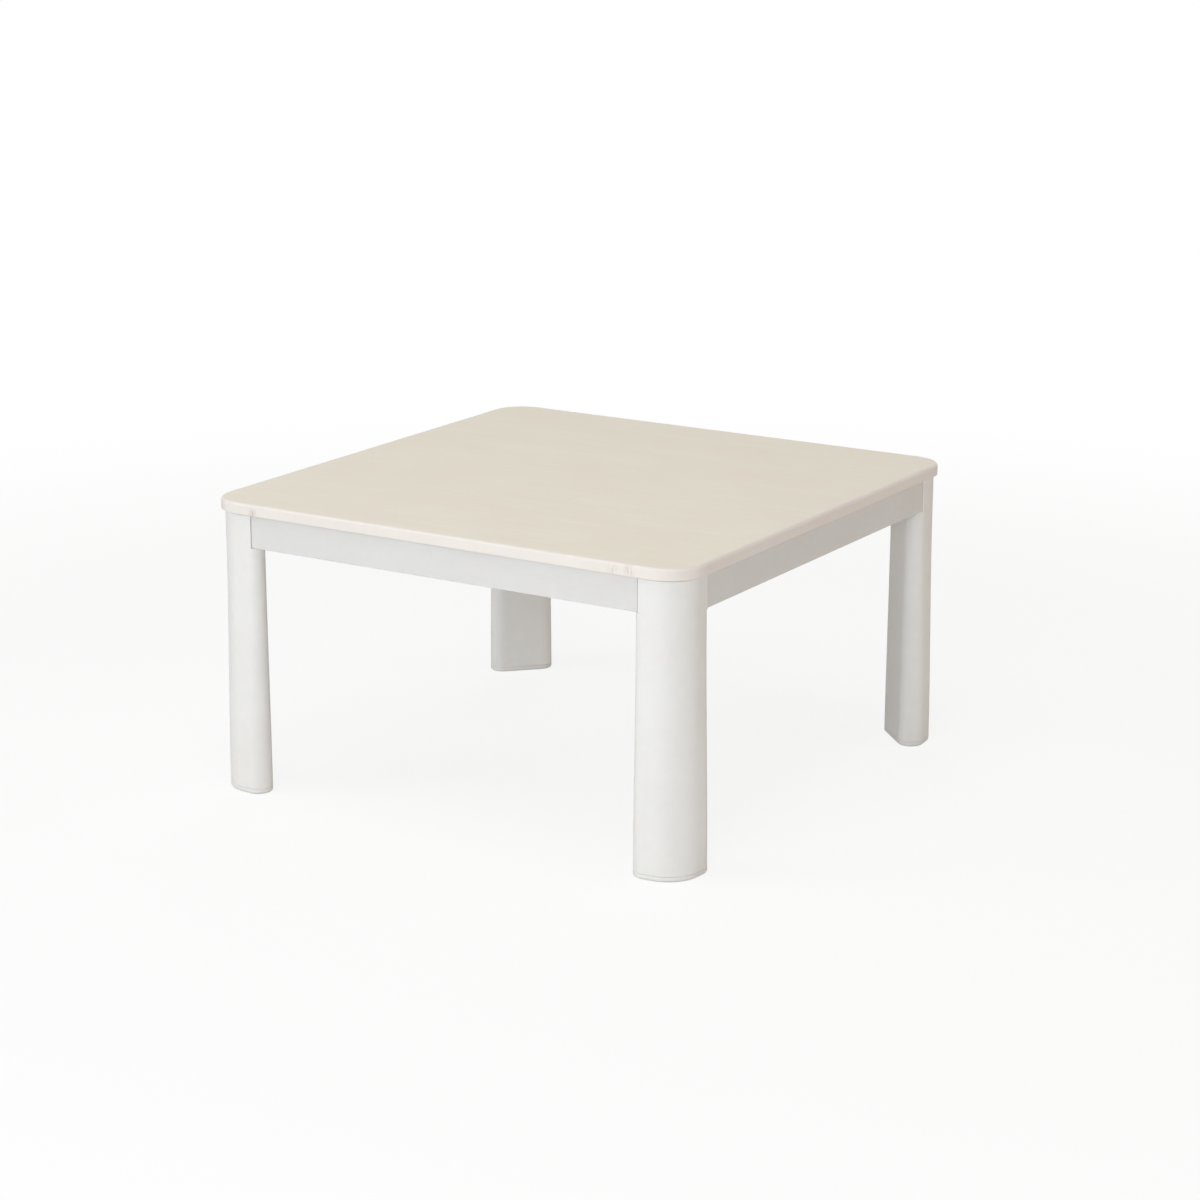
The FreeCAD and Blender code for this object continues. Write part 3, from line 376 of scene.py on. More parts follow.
paints = {
    "top_surface": {
        "tone": (232, 227, 208), "otherTone": (232, 224, 208), "patches": 9.0, "stretch": (1, 2.2, 1),
        "streaks": (5, 210, 50), "streakSharpness": 0.25, "streakShare": 0.16, "streakTone": (214, 206, 189),
        "rough": (0.36, 0.44), "edge": 0.0005, "wear": 0.2, "wornTone": (238, 233, 222),
        "skin": 1400.0, "depth": 0.00002, "skinStretch": (0.25, 1, 1), "swell": 0.1, "specular": 0.45},
    "top_board": {
        "tone": (190, 158, 120), "otherTone": (170, 137, 100), "patches": 60.0, "stretch": (1, 1, 3),
        "speckTone": (120, 88, 58), "speckScale": 260.0, "speckSize": 0.45, "speckThinning": 0.55,
        "speckShare": 0.7, "rough": (0.8, 0.95), "edge": 0.0005, "wear": 0.3, "wornTone": (205, 178, 142),
        "skin": 500.0, "depth": 0.0003, "specular": 0.2},
    "underside_paper": {
        "tone": (226, 219, 205), "otherTone": (219, 211, 196), "patches": 9.0,
        "streaks": (90, 14, 40), "streakSharpness": 0.1, "streakShare": 0.12, "streakTone": (205, 194, 176),
        "speckTone": (188, 174, 152), "speckScale": 320.0, "speckSize": 0.2, "speckThinning": 0.8,
        "speckShare": 0.4, "rough": (0.7, 0.82), "edge": 0.0004, "wear": 0.2, "wornTone": (236, 230, 219),
        "skin": 700.0, "depth": 0.00006, "specular": 0.3},
    "edge_band": {
        "tone": (230, 223, 216), "otherTone": (228, 219, 212), "patches": 12.0, "stretch": (1, 1, 0.5),
        "rough": (0.29, 0.36), "edge": 0.0004, "wear": 0.1, "wornTone": (222, 208, 194), "wearScale": 120.0,
        # three darker marks on the band's lower half, near the leg seams
        "spotMarkTone": (196, 178, 164), "spotMarkScale": 330.0, "spotMarkShare": 0.9,
        "spotMarks": (((0.253, -0.35, 0.376), 0.009), ((0.276, -0.35, 0.377), 0.009),
                    ((-0.277, -0.35, 0.374), 0.008)),
        "skin": 500.0, "depth": 0.00004, "skinStretch": (1, 1, 0.15), "specular": 0.5},
    "rail_wrap": {
        "tone": (217, 215, 212), "otherTone": (214, 211, 208), "patches": 9.0, "stretch": (1, 1, 3),
        "rough": (0.42, 0.52), "edge": 0.0008, "wear": 0.25, "wornTone": (212, 208, 200), "wearScale": 90.0,
        "skin": 650.0, "depth": 0.00006, "skinStretch": (0.3, 0.3, 1), "specular": 0.45},
    "leg_plastic": {
        "tone": (230, 228, 225), "otherTone": (227, 224, 220), "patches": 8.0,
        "rough": (0.36, 0.45), "edge": 0.0008, "wear": 0.12, "wornTone": (222, 219, 210),
        "dustTone": (206, 202, 192), "dustReach": 0.06, "dustScale": 55.0, "dustShare": 0.16,
        "skin": 800.0, "depth": 0.00007, "swell": 0.8, "specular": 0.5, "depthGlow": 0.05},
    "foot_plastic": {
        "tone": (228, 226, 222), "otherTone": (224, 221, 216), "patches": 22.0,
        "rough": (0.5, 0.62), "edge": 0.0006, "wear": 0.4, "wornTone": (206, 200, 190),
        "dustTone": (186, 178, 164), "dustReach": 0.006, "dustScale": 60.0, "dustShare": 0.35,
        "skin": 1100.0, "depth": 0.0001, "specular": 0.4},
    "pad_rubber": {
        "tone": (196, 194, 186), "otherTone": (182, 179, 170), "patches": 120.0,
        "rough": (0.55, 0.7), "edge": 0.0002, "wear": 0.3, "wornTone": (160, 156, 146),
        "skin": 1500.0, "depth": 0.00008, "specular": 0.35, "depthGlow": 0.2},
    "bar_wrap": {
        "tone": (228, 224, 216), "otherTone": (220, 215, 205), "patches": 12.0, "stretch": (1, 1, 2),
        "streaks": (60, 4, 120), "streakSharpness": 0.2, "streakShare": 0.14, "streakTone": (200, 190, 172),
        "rough": (0.48, 0.6), "edge": 0.0008, "wear": 0.5, "wornTone": (186, 164, 132), "wearScale": 140.0,
        "skin": 600.0, "depth": 0.00008, "specular": 0.4},
    "dowel_wood": {
        "tone": (206, 172, 128), "otherTone": (190, 152, 106), "patches": 90.0,
        "streaks": (160, 160, 20), "streakSharpness": 0.5, "streakShare": 0.4, "streakTone": (150, 110, 70),
        "rough": (0.6, 0.75), "edge": 0.0005, "wear": 0.3, "wornTone": (222, 194, 154),
        "skin": 900.0, "depth": 0.0001, "specular": 0.3},
    "zinc_steel": {
        "tone": (196, 199, 201), "otherTone": (178, 182, 180), "patches": 70.0,
        "streaks": (30, 30, 400), "streakSharpness": 0.2, "streakShare": 0.25, "streakTone": (206, 201, 184),
        "rough": (0.24, 0.4), "edge": 0.0006, "wear": 0.6, "wornTone": (226, 228, 230), "metal": 1.0,
        "skin": 1200.0, "depth": 0.00006, "specular": 0.5},
    "insert_brass": {
        "tone": (196, 158, 86), "otherTone": (176, 136, 66), "patches": 160.0,
        "rough": (0.28, 0.42), "edge": 0.0003, "wear": 0.5, "wornTone": (226, 196, 128), "metal": 1.0,
        "skin": 1600.0, "depth": 0.00005},
    "insulation_board": {
        "tone": (206, 200, 186), "otherTone": (192, 184, 168), "patches": 40.0,
        "speckTone": (226, 216, 184), "speckScale": 300.0, "speckSize": 0.4, "speckThinning": 0.5,
        "speckShare": 0.6, "rough": (0.75, 0.9), "edge": 0.0006, "wear": 0.4, "wornTone": (226, 220, 206),
        "skin": 700.0, "depth": 0.0002, "specular": 0.25},
    "reflector_metal": {
        "tone": (222, 224, 226), "otherTone": (208, 211, 214), "patches": 14.0,
        "streaks": (6, 500, 500), "streakSharpness": 0.1, "streakShare": 0.3, "streakTone": (236, 237, 238),
        "rough": (0.12, 0.22), "edge": 0.0008, "wear": 0.3, "wornTone": (196, 194, 190), "metal": 1.0,
        "skin": 30.0, "depth": 0.0006, "swell": 1.0},
    "coil_wire": {
        "tone": (122, 118, 112), "otherTone": (96, 90, 84), "patches": 200.0,
        "rough": (0.45, 0.6), "edge": 0.0002, "wear": 0.2, "wornTone": (160, 150, 140), "metal": 1.0,
        "skin": 2000.0, "depth": 0.00003},
    "cap_ceramic": {
        "tone": (234, 229, 217), "otherTone": (226, 219, 204), "patches": 120.0,
        "speckTone": (186, 172, 150), "speckScale": 900.0, "speckSize": 0.3, "speckThinning": 0.7,
        "speckShare": 0.4, "rough": (0.5, 0.65), "edge": 0.0005, "wear": 0.4, "wornTone": (210, 198, 178),
        "skin": 1300.0, "depth": 0.0001, "depthGlow": 0.05},
    "holder_steel": {
        "tone": (188, 190, 192), "otherTone": (170, 172, 172), "patches": 50.0,
        "streaks": (400, 12, 400), "streakSharpness": 0.3, "streakShare": 0.3, "streakTone": (204, 205, 206),
        "rough": (0.28, 0.42), "edge": 0.0005, "wear": 0.5, "wornTone": (224, 224, 224), "metal": 1.0,
        "skin": 1000.0, "depth": 0.00005},
    "control_black": {
        "tone": (44, 43, 42), "otherTone": (36, 35, 35), "patches": 90.0,
        "speckTone": (74, 70, 64), "speckScale": 1100.0, "speckSize": 0.25, "speckThinning": 0.8,
        "speckShare": 0.5, "rough": (0.38, 0.55), "edge": 0.0005, "wear": 0.5, "wornTone": (84, 80, 76),
        "skin": 1400.0, "depth": 0.00008},
    "fuse_body": {
        "tone": (220, 214, 200), "otherTone": (208, 200, 184), "patches": 150.0,
        "rough": (0.4, 0.55), "edge": 0.0003, "wear": 0.4, "wornTone": (190, 176, 152),
        "skin": 1500.0, "depth": 0.00006},
    "lead_sleeve": {
        "tone": (232, 227, 214), "otherTone": (216, 208, 190), "patches": 500.0,
        "speckTone": (170, 158, 134), "speckScale": 1500.0, "speckSize": 0.4, "speckThinning": 0.3,
        "speckShare": 0.5, "rough": (0.6, 0.75), "edge": 0.0002, "wear": 0.1, "wornTone": (200, 190, 168),
        "skin": 1800.0, "depth": 0.0002, "sheen": 0.3},
    "inlet_black": {
        "tone": (40, 40, 41), "otherTone": (32, 32, 33), "patches": 60.0,
        "rough": (0.42, 0.56), "edge": 0.0007, "wear": 0.4, "wornTone": (86, 84, 82),
        "skin": 900.0, "depth": 0.00012},
    "pin_brass": {
        "tone": (214, 196, 148), "otherTone": (196, 174, 120), "patches": 180.0,
        "streaks": (400, 20, 400), "streakSharpness": 0.3, "streakShare": 0.4, "streakTone": (232, 220, 186),
        "rough": (0.2, 0.34), "edge": 0.0004, "wear": 0.5, "wornTone": (240, 232, 206), "metal": 1.0,
        "skin": 1500.0, "depth": 0.00004},
    "guard_metal": {
        "tone": (66, 66, 67), "otherTone": (56, 56, 58), "patches": 50.0,
        "speckTone": (98, 96, 92), "speckScale": 900.0, "speckSize": 0.3, "speckThinning": 0.75,
        "speckShare": 0.3, "rough": (0.36, 0.48), "edge": 0.0005, "wear": 0.5, "wornTone": (120, 118, 114),
        "skin": 1100.0, "depth": 0.0001, "coat": 0.15},
}

finishes = {slot: paintFinish(slot + "Finish", look) for slot, look in paints.items()}
finishes["housing_steel"] = spangleFinish("housing_steelFinish", housingLook)
finishes["quartz"] = quartzFinish("quartzFinish", quartzLook)
for part in record["subparts"]:
    mesh = nodes[part["node"]].data
    mesh.materials.clear()
    mesh.materials.append(finishes[part["material_slot"]])
print("finishes:", len(finishes))


# Shapes worked out on grids: rows run along a shape, columns run round it

meshLook = {"sharpAngle": 38, "doubles": 1e-6, "slivers": 1e-7}


def gridFaces(rows, columns):
    # quads between neighbouring points; the last column meets the first
    down = np.arange(rows - 1)[:, None] * columns
    across = np.arange(columns)[None, :]
    beside = (across + 1) % columns
    corners = [down + across, down + beside, down + columns + beside, down + columns + across]
    return np.stack(corners, axis=-1).reshape(-1, 4)


def makePiece(name, grids, slot, replaced, turns=(np.eye(4),)):
    # every grid is repeated at every turn, then doubles are merged, so seams and poles close
    points, faces, count = [], [], 0
    for grid in grids:
        flat = grid.reshape(-1, 3)
        quads = gridFaces(*grid.shape[:2])
        for turn in turns:
            points.append(flat @ turn[:3, :3].T + turn[:3, 3])
            faces.append(quads + count)
            count += len(flat)
    mesh = bpy.data.meshes.new(name)
    mesh.from_pydata(np.concatenate(points), [], np.concatenate(faces).tolist())
    work = bmesh.new()
    work.from_mesh(mesh)
    bmesh.ops.remove_doubles(work, verts=work.verts, dist=meshLook["doubles"])
    bmesh.ops.dissolve_degenerate(work, edges=work.edges, dist=meshLook["slivers"])
    bmesh.ops.recalc_face_normals(work, faces=work.faces)
    work.to_mesh(mesh)
    work.free()
    mesh.shade_smooth()
    mesh.set_sharp_from_angle(angle=math.radians(meshLook["sharpAngle"]))
    mesh.materials.append(finishes[slot])
    piece = bpy.data.objects.new(name, mesh)
    bpy.context.scene.collection.objects.link(piece)
    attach(piece, "frame")
    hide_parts(*replaced)


def around(columns):
    return np.linspace(0, 2 * np.pi, columns, endpoint=False)


def centred(count, pitch):
    return (np.arange(count) - (count - 1) / 2) * pitch


def ramp(distance, width):
    # 0 to 1 over a width, and 0.5 where the distance is 0
    return np.clip(distance / width + 0.5, 0, 1)


def lathe(profile, columns):
    # (r cos t, r sin t, z) for every (r, z) of the profile
    r, z = np.array(profile, float).T
    t = around(columns)
    return np.stack([r[:, None] * np.cos(t), r[:, None] * np.sin(t), z[:, None] + 0 * t], axis=-1)


threadLook = {"rowsPerPitch": 4, "toothPower": 1.4, "tipShare": 0.15}


def threaded(outer, core, length, pitch, columns, tip=0.0):
    # radius = core + (outer - core) * tooth(z / pitch - t / 2 pi), tooth being a triangle ^ toothPower; over
    # the last stretch, the tip, the radius draws in to tipShare of this, and both ends are closed
    look = threadLook
    steps = int(length / pitch * look["rowsPerPitch"]) + 1
    z = np.linspace(0, length, steps)[:, None]
    t = around(columns)[None, :]
    phase = (z / pitch - t / (2 * np.pi)) % 1
    tooth = (1 - np.abs(2 * phase - 1)) ** look["toothPower"]
    taper = np.clip((length - z) / tip, 0, 1) if tip else np.ones_like(z)
    r = (core + (outer - core) * tooth) * (look["tipShare"] + (1 - look["tipShare"]) * taper)
    body = np.stack([r * np.cos(t), r * np.sin(t), z + 0 * t], axis=-1)
    ends = [np.tile([[[0, 0, end]]], (1, columns, 1)) for end in (0, length)]
    return np.concatenate([ends[0], body, ends[1]])


# shares of the head's radius or height, apart from rows and the powers
headLook = {
    "rows": 12, "rowPower": 0.9, "fall": 0.45, "fallPower": 4, "armHalf": 0.13, "armSlope": 0.05,
    "crossReach": 0.55, "reachSlope": 0.08, "crossDepth": 0.55, "crossRise": 0.6, "rimHeight": 0.12,
    "seatWidth": 0.97}


def crossHead(radius, height, columns):
    # a domed head below z = 0 with a cross cut into it: z = -height * (1 - fall row ^ fallPower) + cut, where
    # cut = height * crossDepth * arm(x, y) * reach(r) * (1 - crossRise r / R) and row = r / R
    look = headLook
    rows = np.linspace(0, 1, look["rows"])[:, None] ** look["rowPower"]
    t = around(columns)[None, :]
    r = radius * rows
    x, y = r * np.cos(t), r * np.sin(t)
    arm = ramp(radius * look["armHalf"] - np.minimum(np.abs(x), np.abs(y)), radius * look["armSlope"])
    reach = ramp(radius * look["crossReach"] - r, radius * look["reachSlope"])
    cut = height * look["crossDepth"] * arm * reach * (1 - look["crossRise"] * r / radius)
    dome = -height * (1 - look["fall"] * rows ** look["fallPower"]) + cut
    top = np.stack([x, y, dome + 0 * t], axis=-1)
    rim = np.stack([x[-1:], y[-1:], np.full((1, columns), -height * look["rimHeight"])], axis=-1)
    seat = np.stack([x[-1:] * look["seatWidth"], y[-1:] * look["seatWidth"], np.zeros((1, columns))], axis=-1)
    middle = np.zeros((1, columns, 3))
    return np.concatenate([top, rim, seat, middle])


def softened(corners, bend, steps=6):
    # each inner corner C becomes (1 - s)^2 A + 2 s (1 - s) C + s^2 B, with A and B a bend away from it
    corners = np.array(corners, float)
    into = corners[1:-1] - corners[:-2]
    out = corners[2:] - corners[1:-1]
    a = corners[1:-1] - bend * into / np.linalg.norm(into, axis=1, keepdims=True)
    b = corners[1:-1] + bend * out / np.linalg.norm(out, axis=1, keepdims=True)
    s = np.linspace(0, 1, steps)[None, :, None]
    curve = (1 - s) ** 2 * a[:, None] + 2 * s * (1 - s) * corners[1:-1, None] + s ** 2 * b[:, None]
    return np.concatenate([corners[:1], curve.reshape(-1, 3), corners[-1:]])


def tubeAlong(path, radius, columns, across, loop=False):
    # rings round a path: p + r (cos t * side + sin t * across), side being square to both
    if loop:
        ahead = np.roll(path, -1, axis=0) - np.roll(path, 1, axis=0)
    else:
        ahead = np.gradient(path, axis=0)
    side = np.cross(ahead, across)
    side /= np.linalg.norm(side, axis=1, keepdims=True)
    t = around(columns)[None, :, None]
    across = np.broadcast_to(across, path.shape)
    rings = path[:, None] + radius * (np.cos(t) * side[:, None] + np.sin(t) * across[:, None])
    if loop:
        return np.concatenate([rings, rings[:1]])
    ends = [np.repeat(path[i:i + 1, None], columns, axis=1) for i in (0, len(path) - 1)]
    return np.concatenate([ends[0], rings, ends[1]])


def shift(x, y, z):
    # a place for a shape drawn along +Z
    turn = np.eye(4)
    turn[:3, 3] = (x, y, z)
    return turn


def fourPlaces(x, y, z):
    return [shift(a * x, b * y, z) for a in (-1, 1) for b in (-1, 1)]


heaterLook = {"rimLevel": 0.3274, "tubeLevel": 0.3374, "tubeAside": 0.045}


# Guard

# endGap, frameInset, frameDrop and frameWire are in radii of the wire
guardLook = {
    "wire": 0.00095, "pitch": 0.020, "count": 12, "floor": 0.1133, "top": 0.1240, "drop": 0.0180,
    "bend": 0.005, "columns": 8, "endGap": 0.2, "frameBend": 0.008, "frameInset": 2.2, "frameDrop": 2,
    "frameWire": 1.3}


def guardWires():
    # wires both ways: down one side, across the floor and up the other, welded to a square frame at the top
    look = guardLook
    r = look["wire"]
    top = heaterLook["rimLevel"] - look["endGap"] * r
    grids = []
    for layer, lift in ((0, r), (1, 3 * r)):
        low = heaterLook["rimLevel"] - look["drop"] + lift
        line = [(-look["top"] + r, 0, top), (-look["floor"] + lift, 0, low),
                (look["floor"] - lift, 0, low), (look["top"] - r, 0, top)]
        path = softened(line, look["bend"])
        across = np.array([0.0, 1.0, 0.0])
        if layer:
            path = path[:, [1, 0, 2]]
            across = np.array([1.0, 0.0, 0.0])
        wire = tubeAlong(path, r, look["columns"], across)
        grids += [wire + across * place for place in centred(look["count"], look["pitch"])]
    half = look["top"] - look["frameInset"] * r
    corners = np.array([(1, 0), (1, 1), (-1, 1), (-1, -1), (1, -1), (1, 0)]) * half
    level = np.full(len(corners), top - look["frameDrop"] * r)
    square = softened(np.column_stack([corners, level]), look["frameBend"])[:-1]
    up = np.array([0.0, 0.0, 1.0])
    grids.append(tubeAlong(square, r * look["frameWire"], look["columns"], up, loop=True))
    makePiece("guard_wires", grids, "guard_metal", ["guard_grille"])


# Heating coils

coilLook = {
    "half": 0.1346, "radius": 0.0036, "wire": 0.00042, "pitch": 0.0025, "perTurn": 14, "columns": 6,
    "neck": 0.004, "neckPower": 0.5, "tail": 0.0010, "tailFrom": 0.1290, "tailTo": 0.1418,
    "tailEnd": 0.7, "tailChamfer": 0.0003, "tailColumns": 14}


def heatingCoils():
    # x along the tube, y = R cos t, z = R sin t, and R draws in to the tail's radius at both ends
    look = coilLook
    tail, wire = look["tail"], look["wire"]
    turns = 2 * look["half"] / look["pitch"]
    x = np.linspace(-look["half"], look["half"], int(turns * look["perTurn"]))
    t = x / look["pitch"] * 2 * np.pi
    ease = np.clip((look["half"] - np.abs(x)) / look["neck"], 0, 1)
    radius = tail + wire + (look["radius"] - tail - wire) * ease ** look["neckPower"]
    path = np.stack([x, radius * np.cos(t), radius * np.sin(t)], axis=1)
    outward = np.stack([0 * x, np.cos(t), np.sin(t)], axis=1)
    coil = tubeAlong(path, wire, look["columns"], outward)
    length = look["tailTo"] - look["tailFrom"]
    thin, cut = tail * look["tailEnd"], look["tailChamfer"]
    profile = [(0, 0), (thin, 0), (tail, cut), (tail, length - cut), (thin, length), (0, length)]
    # the tail is drawn upright, then laid along x
    pin = lathe(profile, look["tailColumns"])[..., [2, 1, 0]] + np.array([look["tailFrom"], 0, 0])
    for name, side in (("front", -1), ("back", 1)):
        place = shift(0, side * heaterLook["tubeAside"], heaterLook["tubeLevel"])
        makePiece("coil_" + name, [coil, pin, pin * np.array([-1, 1, 1])], "coil_wire",
                  ["heating_coil_" + name], [place])


# Screws and rivets of the heater

screwSizes = {
    "wood": {"radius": 0.00175, "core": 0.00120, "length": 0.0140, "pitch": 0.0014, "tip": 0.003,
             "head": 0.0036, "height": 0.0022},
    "mount": {"radius": 0.0020, "core": 0.00145, "length": 0.0150, "pitch": 0.0016, "tip": 0.003,
              "head": 0.0045, "height": 0.0025},
    "machine": {"radius": 0.0015, "core": 0.00122, "length": 0.0080, "pitch": 0.0006, "tip": 0.0006,
                "head": 0.0030, "height": 0.0020}}
screwLook = {
    "columns": 40, "shankColumns": 14, "radiusShare": 0.985, "heightShare": 0.98, "shorter": 0.0003}


def screwGrids(kind):
    # drawn a little inside the solid: the head below z = 0 and the thread above
    size, look = screwSizes[kind], screwLook
    head = crossHead(size["head"], size["height"] * look["heightShare"], look["columns"])
    shank = threaded(size["radius"] * look["radiusShare"], size["core"], size["length"] - look["shorter"],
                     size["pitch"], look["shankColumns"], size["tip"])
    return [head, shank]


# places in x and y, and how far the underside of each head is above the rim
heaterScrewLook = {
    "mountAt": (0.160, 0.120), "mountOver": 0.0008, "ringAt": (0.1294, 0.1294), "ringOver": -0.0015,
    "inletAt": (0.025, 0.1407), "inletOver": -0.003}


def heaterScrews():
    look, level = heaterScrewLook, heaterLook["rimLevel"]
    mount = fourPlaces(*look["mountAt"], level + look["mountOver"])
    makePiece("mount_screws", screwGrids("mount"), "zinc_steel", ["heater_mount_screws"], mount)
    ring = fourPlaces(*look["ringAt"], level + look["ringOver"])
    makePiece("ring_screws", screwGrids("machine"), "zinc_steel", ["guard_ring_screws"], ring)
    x, y = look["inletAt"]
    lug = [shift(side * x, y, level + look["inletOver"]) for side in (-1, 1)]
    makePiece("lug_screws", screwGrids("machine"), "zinc_steel", ["inlet_screws"], lug)


rivetLook = {
    "radius": 0.00118, "head": 0.0025, "headHeight": 0.0009, "grip": 0.0018, "rows": 5, "columns": 20,
    "lowDome": (0.25, 0.75), "highDome": (0.3, 0.68), "rimAt": 0.148, "rimPitch": 0.073, "rimCount": 4,
    "rimUpper": 0.0018, "holderAt": (0.14205, 0.0225), "holderUpper": 0.0025}


def domeLine(radius, edge, dome):
    # (R sin a, headHeight * (edge + dome cos a)), from the middle out
    look = rivetLook
    return [(radius * math.sin(a), look["headHeight"] * (edge + dome * math.cos(a)))
            for a in np.linspace(0, np.pi / 2, look["rows"])]


def rivetGrid(upper):
    # a domed head below, the shank through the sheets, and a flatter formed head above
    look = rivetLook
    grip = look["grip"]
    low = [(r, -z) for r, z in domeLine(look["head"], *look["lowDome"])]
    high = [(r, grip + z) for r, z in domeLine(upper, *look["highDome"])]
    shank = [(look["head"], 0), (look["radius"], 0), (look["radius"], grip), (upper, grip)]
    return lathe(low + shank + high[::-1], look["columns"])


def rivets():
    look, level = rivetLook, heaterLook["rimLevel"]
    line = look["rimAt"]
    alongs = centred(look["rimCount"], look["rimPitch"])
    rim = [shift(a, side * line, level) for a in alongs for side in (-1, 1)]
    rim += [shift(side * line, a, level) for a in alongs for side in (-1, 1)]
    makePiece("rim_rivets", [rivetGrid(look["rimUpper"])], "zinc_steel", ["reflector_rivets"], rim)
    held = fourPlaces(*look["holderAt"], level)
    makePiece("holder_rivets", [rivetGrid(look["holderUpper"])], "zinc_steel", ["tube_holder_rivets"], held)


# Bolts, wing nuts and wood screws at the corners

cornerLook = {"out": 0.345, "level": 0.348}


def cornerTurns():
    # the legs' own axes: a quarter turn on from corner to corner
    turns = []
    for i, (x, y) in enumerate(((-1, -1), (1, -1), (1, 1), (-1, 1))):
        turn = np.array(Matrix.Rotation(i * math.pi / 2, 4, "Z"))
        turn[:3, 3] = (x * cornerLook["out"], y * cornerLook["out"], cornerLook["level"])
        turns.append(turn)
    return turns


def alongDiagonals(start):
    # carries a shape drawn along +Z onto each corner's diagonal, start away from the leg's outer corner
    axis = Vector((1, 1, 0)).normalized()
    side = Vector((-1, 1, 0)).normalized()
    turn = Matrix((side, Vector((0, 0, 1)), axis)).transposed().to_4x4()
    inward = np.array(Matrix.Translation(axis * start) @ turn)
    return [corner @ inward for corner in cornerTurns()]


studLook = {
    "from": 0.04628, "to": 0.08188, "radius": 0.00395, "core": 0.0034, "pitch": 0.00125, "columns": 22}


def legStuds():
    look = studLook
    stud = threaded(look["radius"], look["core"], look["to"] - look["from"], look["pitch"], look["columns"])
    makePiece("leg_studs", [stud], "zinc_steel", ["leg_bolts"], alongDiagonals(look["from"]))


nutLook = {
    "from": 0.06588, "hub": 0.0075, "hubTop": 0.0061, "bore": 0.0041, "height": 0.009,
    "chamfer": 0.0005, "hubColumns": 36, "wingRows": 14, "columns": 28, "root": 0.0045, "reach": 0.0168,
    "rootLevel": 0.0046, "climb": 0.006, "climbPower": 1.2, "rootHalf": 0.0036, "swell": 0.0016,
    "swellSpan": 0.8, "closePower": 5, "thick": 0.0015, "thinning": 0.25}


def wingGrid(side):
    # from root to tip, s = 0 to 1, the middle is at x = root + (reach - root) s and z = rootLevel +
    # climb s ^ climbPower; the section is an ellipse that swells, and closes with sqrt(1 - s ^ closePower)
    look = nutLook
    s = np.linspace(0, 1, look["wingRows"])[:, None]
    t = around(look["columns"])[None, :]
    closing = np.sqrt(np.clip(1 - s ** look["closePower"], 0, 1))
    half = (look["rootHalf"] + look["swell"] * np.sin(np.pi * s * look["swellSpan"])) * closing
    x = look["root"] + (look["reach"] - look["root"]) * s + 0 * t
    y = look["thick"] * (1 - look["thinning"] * s) * closing * np.sin(t)
    z = look["rootLevel"] + look["climb"] * s ** look["climbPower"] + half * np.cos(t)
    wing = np.stack([side * x, y, z], axis=-1)
    root = np.repeat(wing[:1].mean(axis=1, keepdims=True), look["columns"], axis=1)
    return np.concatenate([root, wing])


def wingNuts():
    look = nutLook
    bore, hub, top, high, cut = (look[key] for key in ("bore", "hub", "hubTop", "height", "chamfer"))
    profile = [(bore, cut), (bore + cut, 0), (hub - cut, 0), (hub, cut), (top, high - cut),
               (top - cut, high), (bore + cut, high), (bore, high - cut), (bore, cut)]
    grids = [lathe(profile, look["hubColumns"]), wingGrid(-1), wingGrid(1)]
    makePiece("wing_nuts", grids, "zinc_steel", ["leg_wing_nuts"], alongDiagonals(look["from"]))


plateScrewLook = {"depth": 0.0209, "places": (0.07658, 0.09418)}


def plateScrews():
    # driven outwards through the plates' flanges into the rails
    look = plateScrewLook
    places = []
    for turn in cornerTurns():
        for place in look["places"]:
            first = Matrix.Translation((place, look["depth"], 0)) @ Matrix.Rotation(math.pi / 2, 4, "X")
            other = Matrix.Translation((look["depth"], place, 0)) @ Matrix.Rotation(-math.pi / 2, 4, "Y")
            places += [turn @ np.array(first), turn @ np.array(other)]
    makePiece("plate_screws", screwGrids("wood"), "zinc_steel", ["corner_plate_screws"], places)


guardWires()
heatingCoils()
heaterScrews()
rivets()
legStuds()
wingNuts()
plateScrews()
print("guard, coils, screws, rivets, bolts and nuts")


# Floor, light and camera

floorLook = {
    "radius": 9.0, "sides": 96, "below": 0.0003, "tone": (246, 246, 245), "grainTone": (255, 255, 255),
    "grainScale": 60.0, "grainShare": 0.1, "rough": 0.9, "specular": 0.1, "clearFrom": 1.0,
    "clearAt": 2.4, "veil": 0.84, "touch": 0.004, "soleLight": 0.4}


def shining(tree, strength):
    return put(tree, "Emission", {"Color": (1, 1, 1, 1), "Strength": strength}).outputs[0]


def blendShaders(tree, factor, first, second):
    return put(tree, "MixShader", {0: factor, 1: first, 2: second}).outputs[0]


def floorFinish():
    # what the camera sees is veiled with white, wholly so further out; soles that rest on the floor are
    # lit by a glow of their own, and from below it is clear
    look = floorLook
    material, tree, place, shader = startFinish("floorFinish")
    shader.inputs["Roughness"].default_value = look["rough"]
    shader.inputs["Specular IOR Level"].default_value = look["specular"]
    grain = noiseOf(tree, place, look["grainScale"])
    colour = laidOver(tree, tint(*look["tone"]), grain, look["grainShare"], look["grainTone"])
    tree.links.new(colour, shader.inputs["Base Color"])
    away = put(tree, "VectorMath", {0: place}, operation="LENGTH").outputs["Value"]
    veil = remap(tree, away, look["clearFrom"], look["clearAt"], look["veil"], 1.0,
                 interpolation_type="SMOOTHSTEP")
    path = put(tree, "LightPath").outputs
    seen = maths(tree, "MULTIPLY", veil, path["Is Camera Ray"])
    plain = blendShaders(tree, seen, shader.outputs[0], shining(tree, 1.0))
    touching = maths(tree, "LESS_THAN", path["Ray Length"], look["touch"])
    plain = blendShaders(tree, touching, plain, shining(tree, look["soleLight"]))
    behind = put(tree, "NewGeometry").outputs["Backfacing"]
    whole = blendShaders(tree, behind, plain, put(tree, "BsdfTransparent").outputs[0])
    tree.links.new(whole, tree.nodes["Material Output"].inputs["Surface"])
    return material


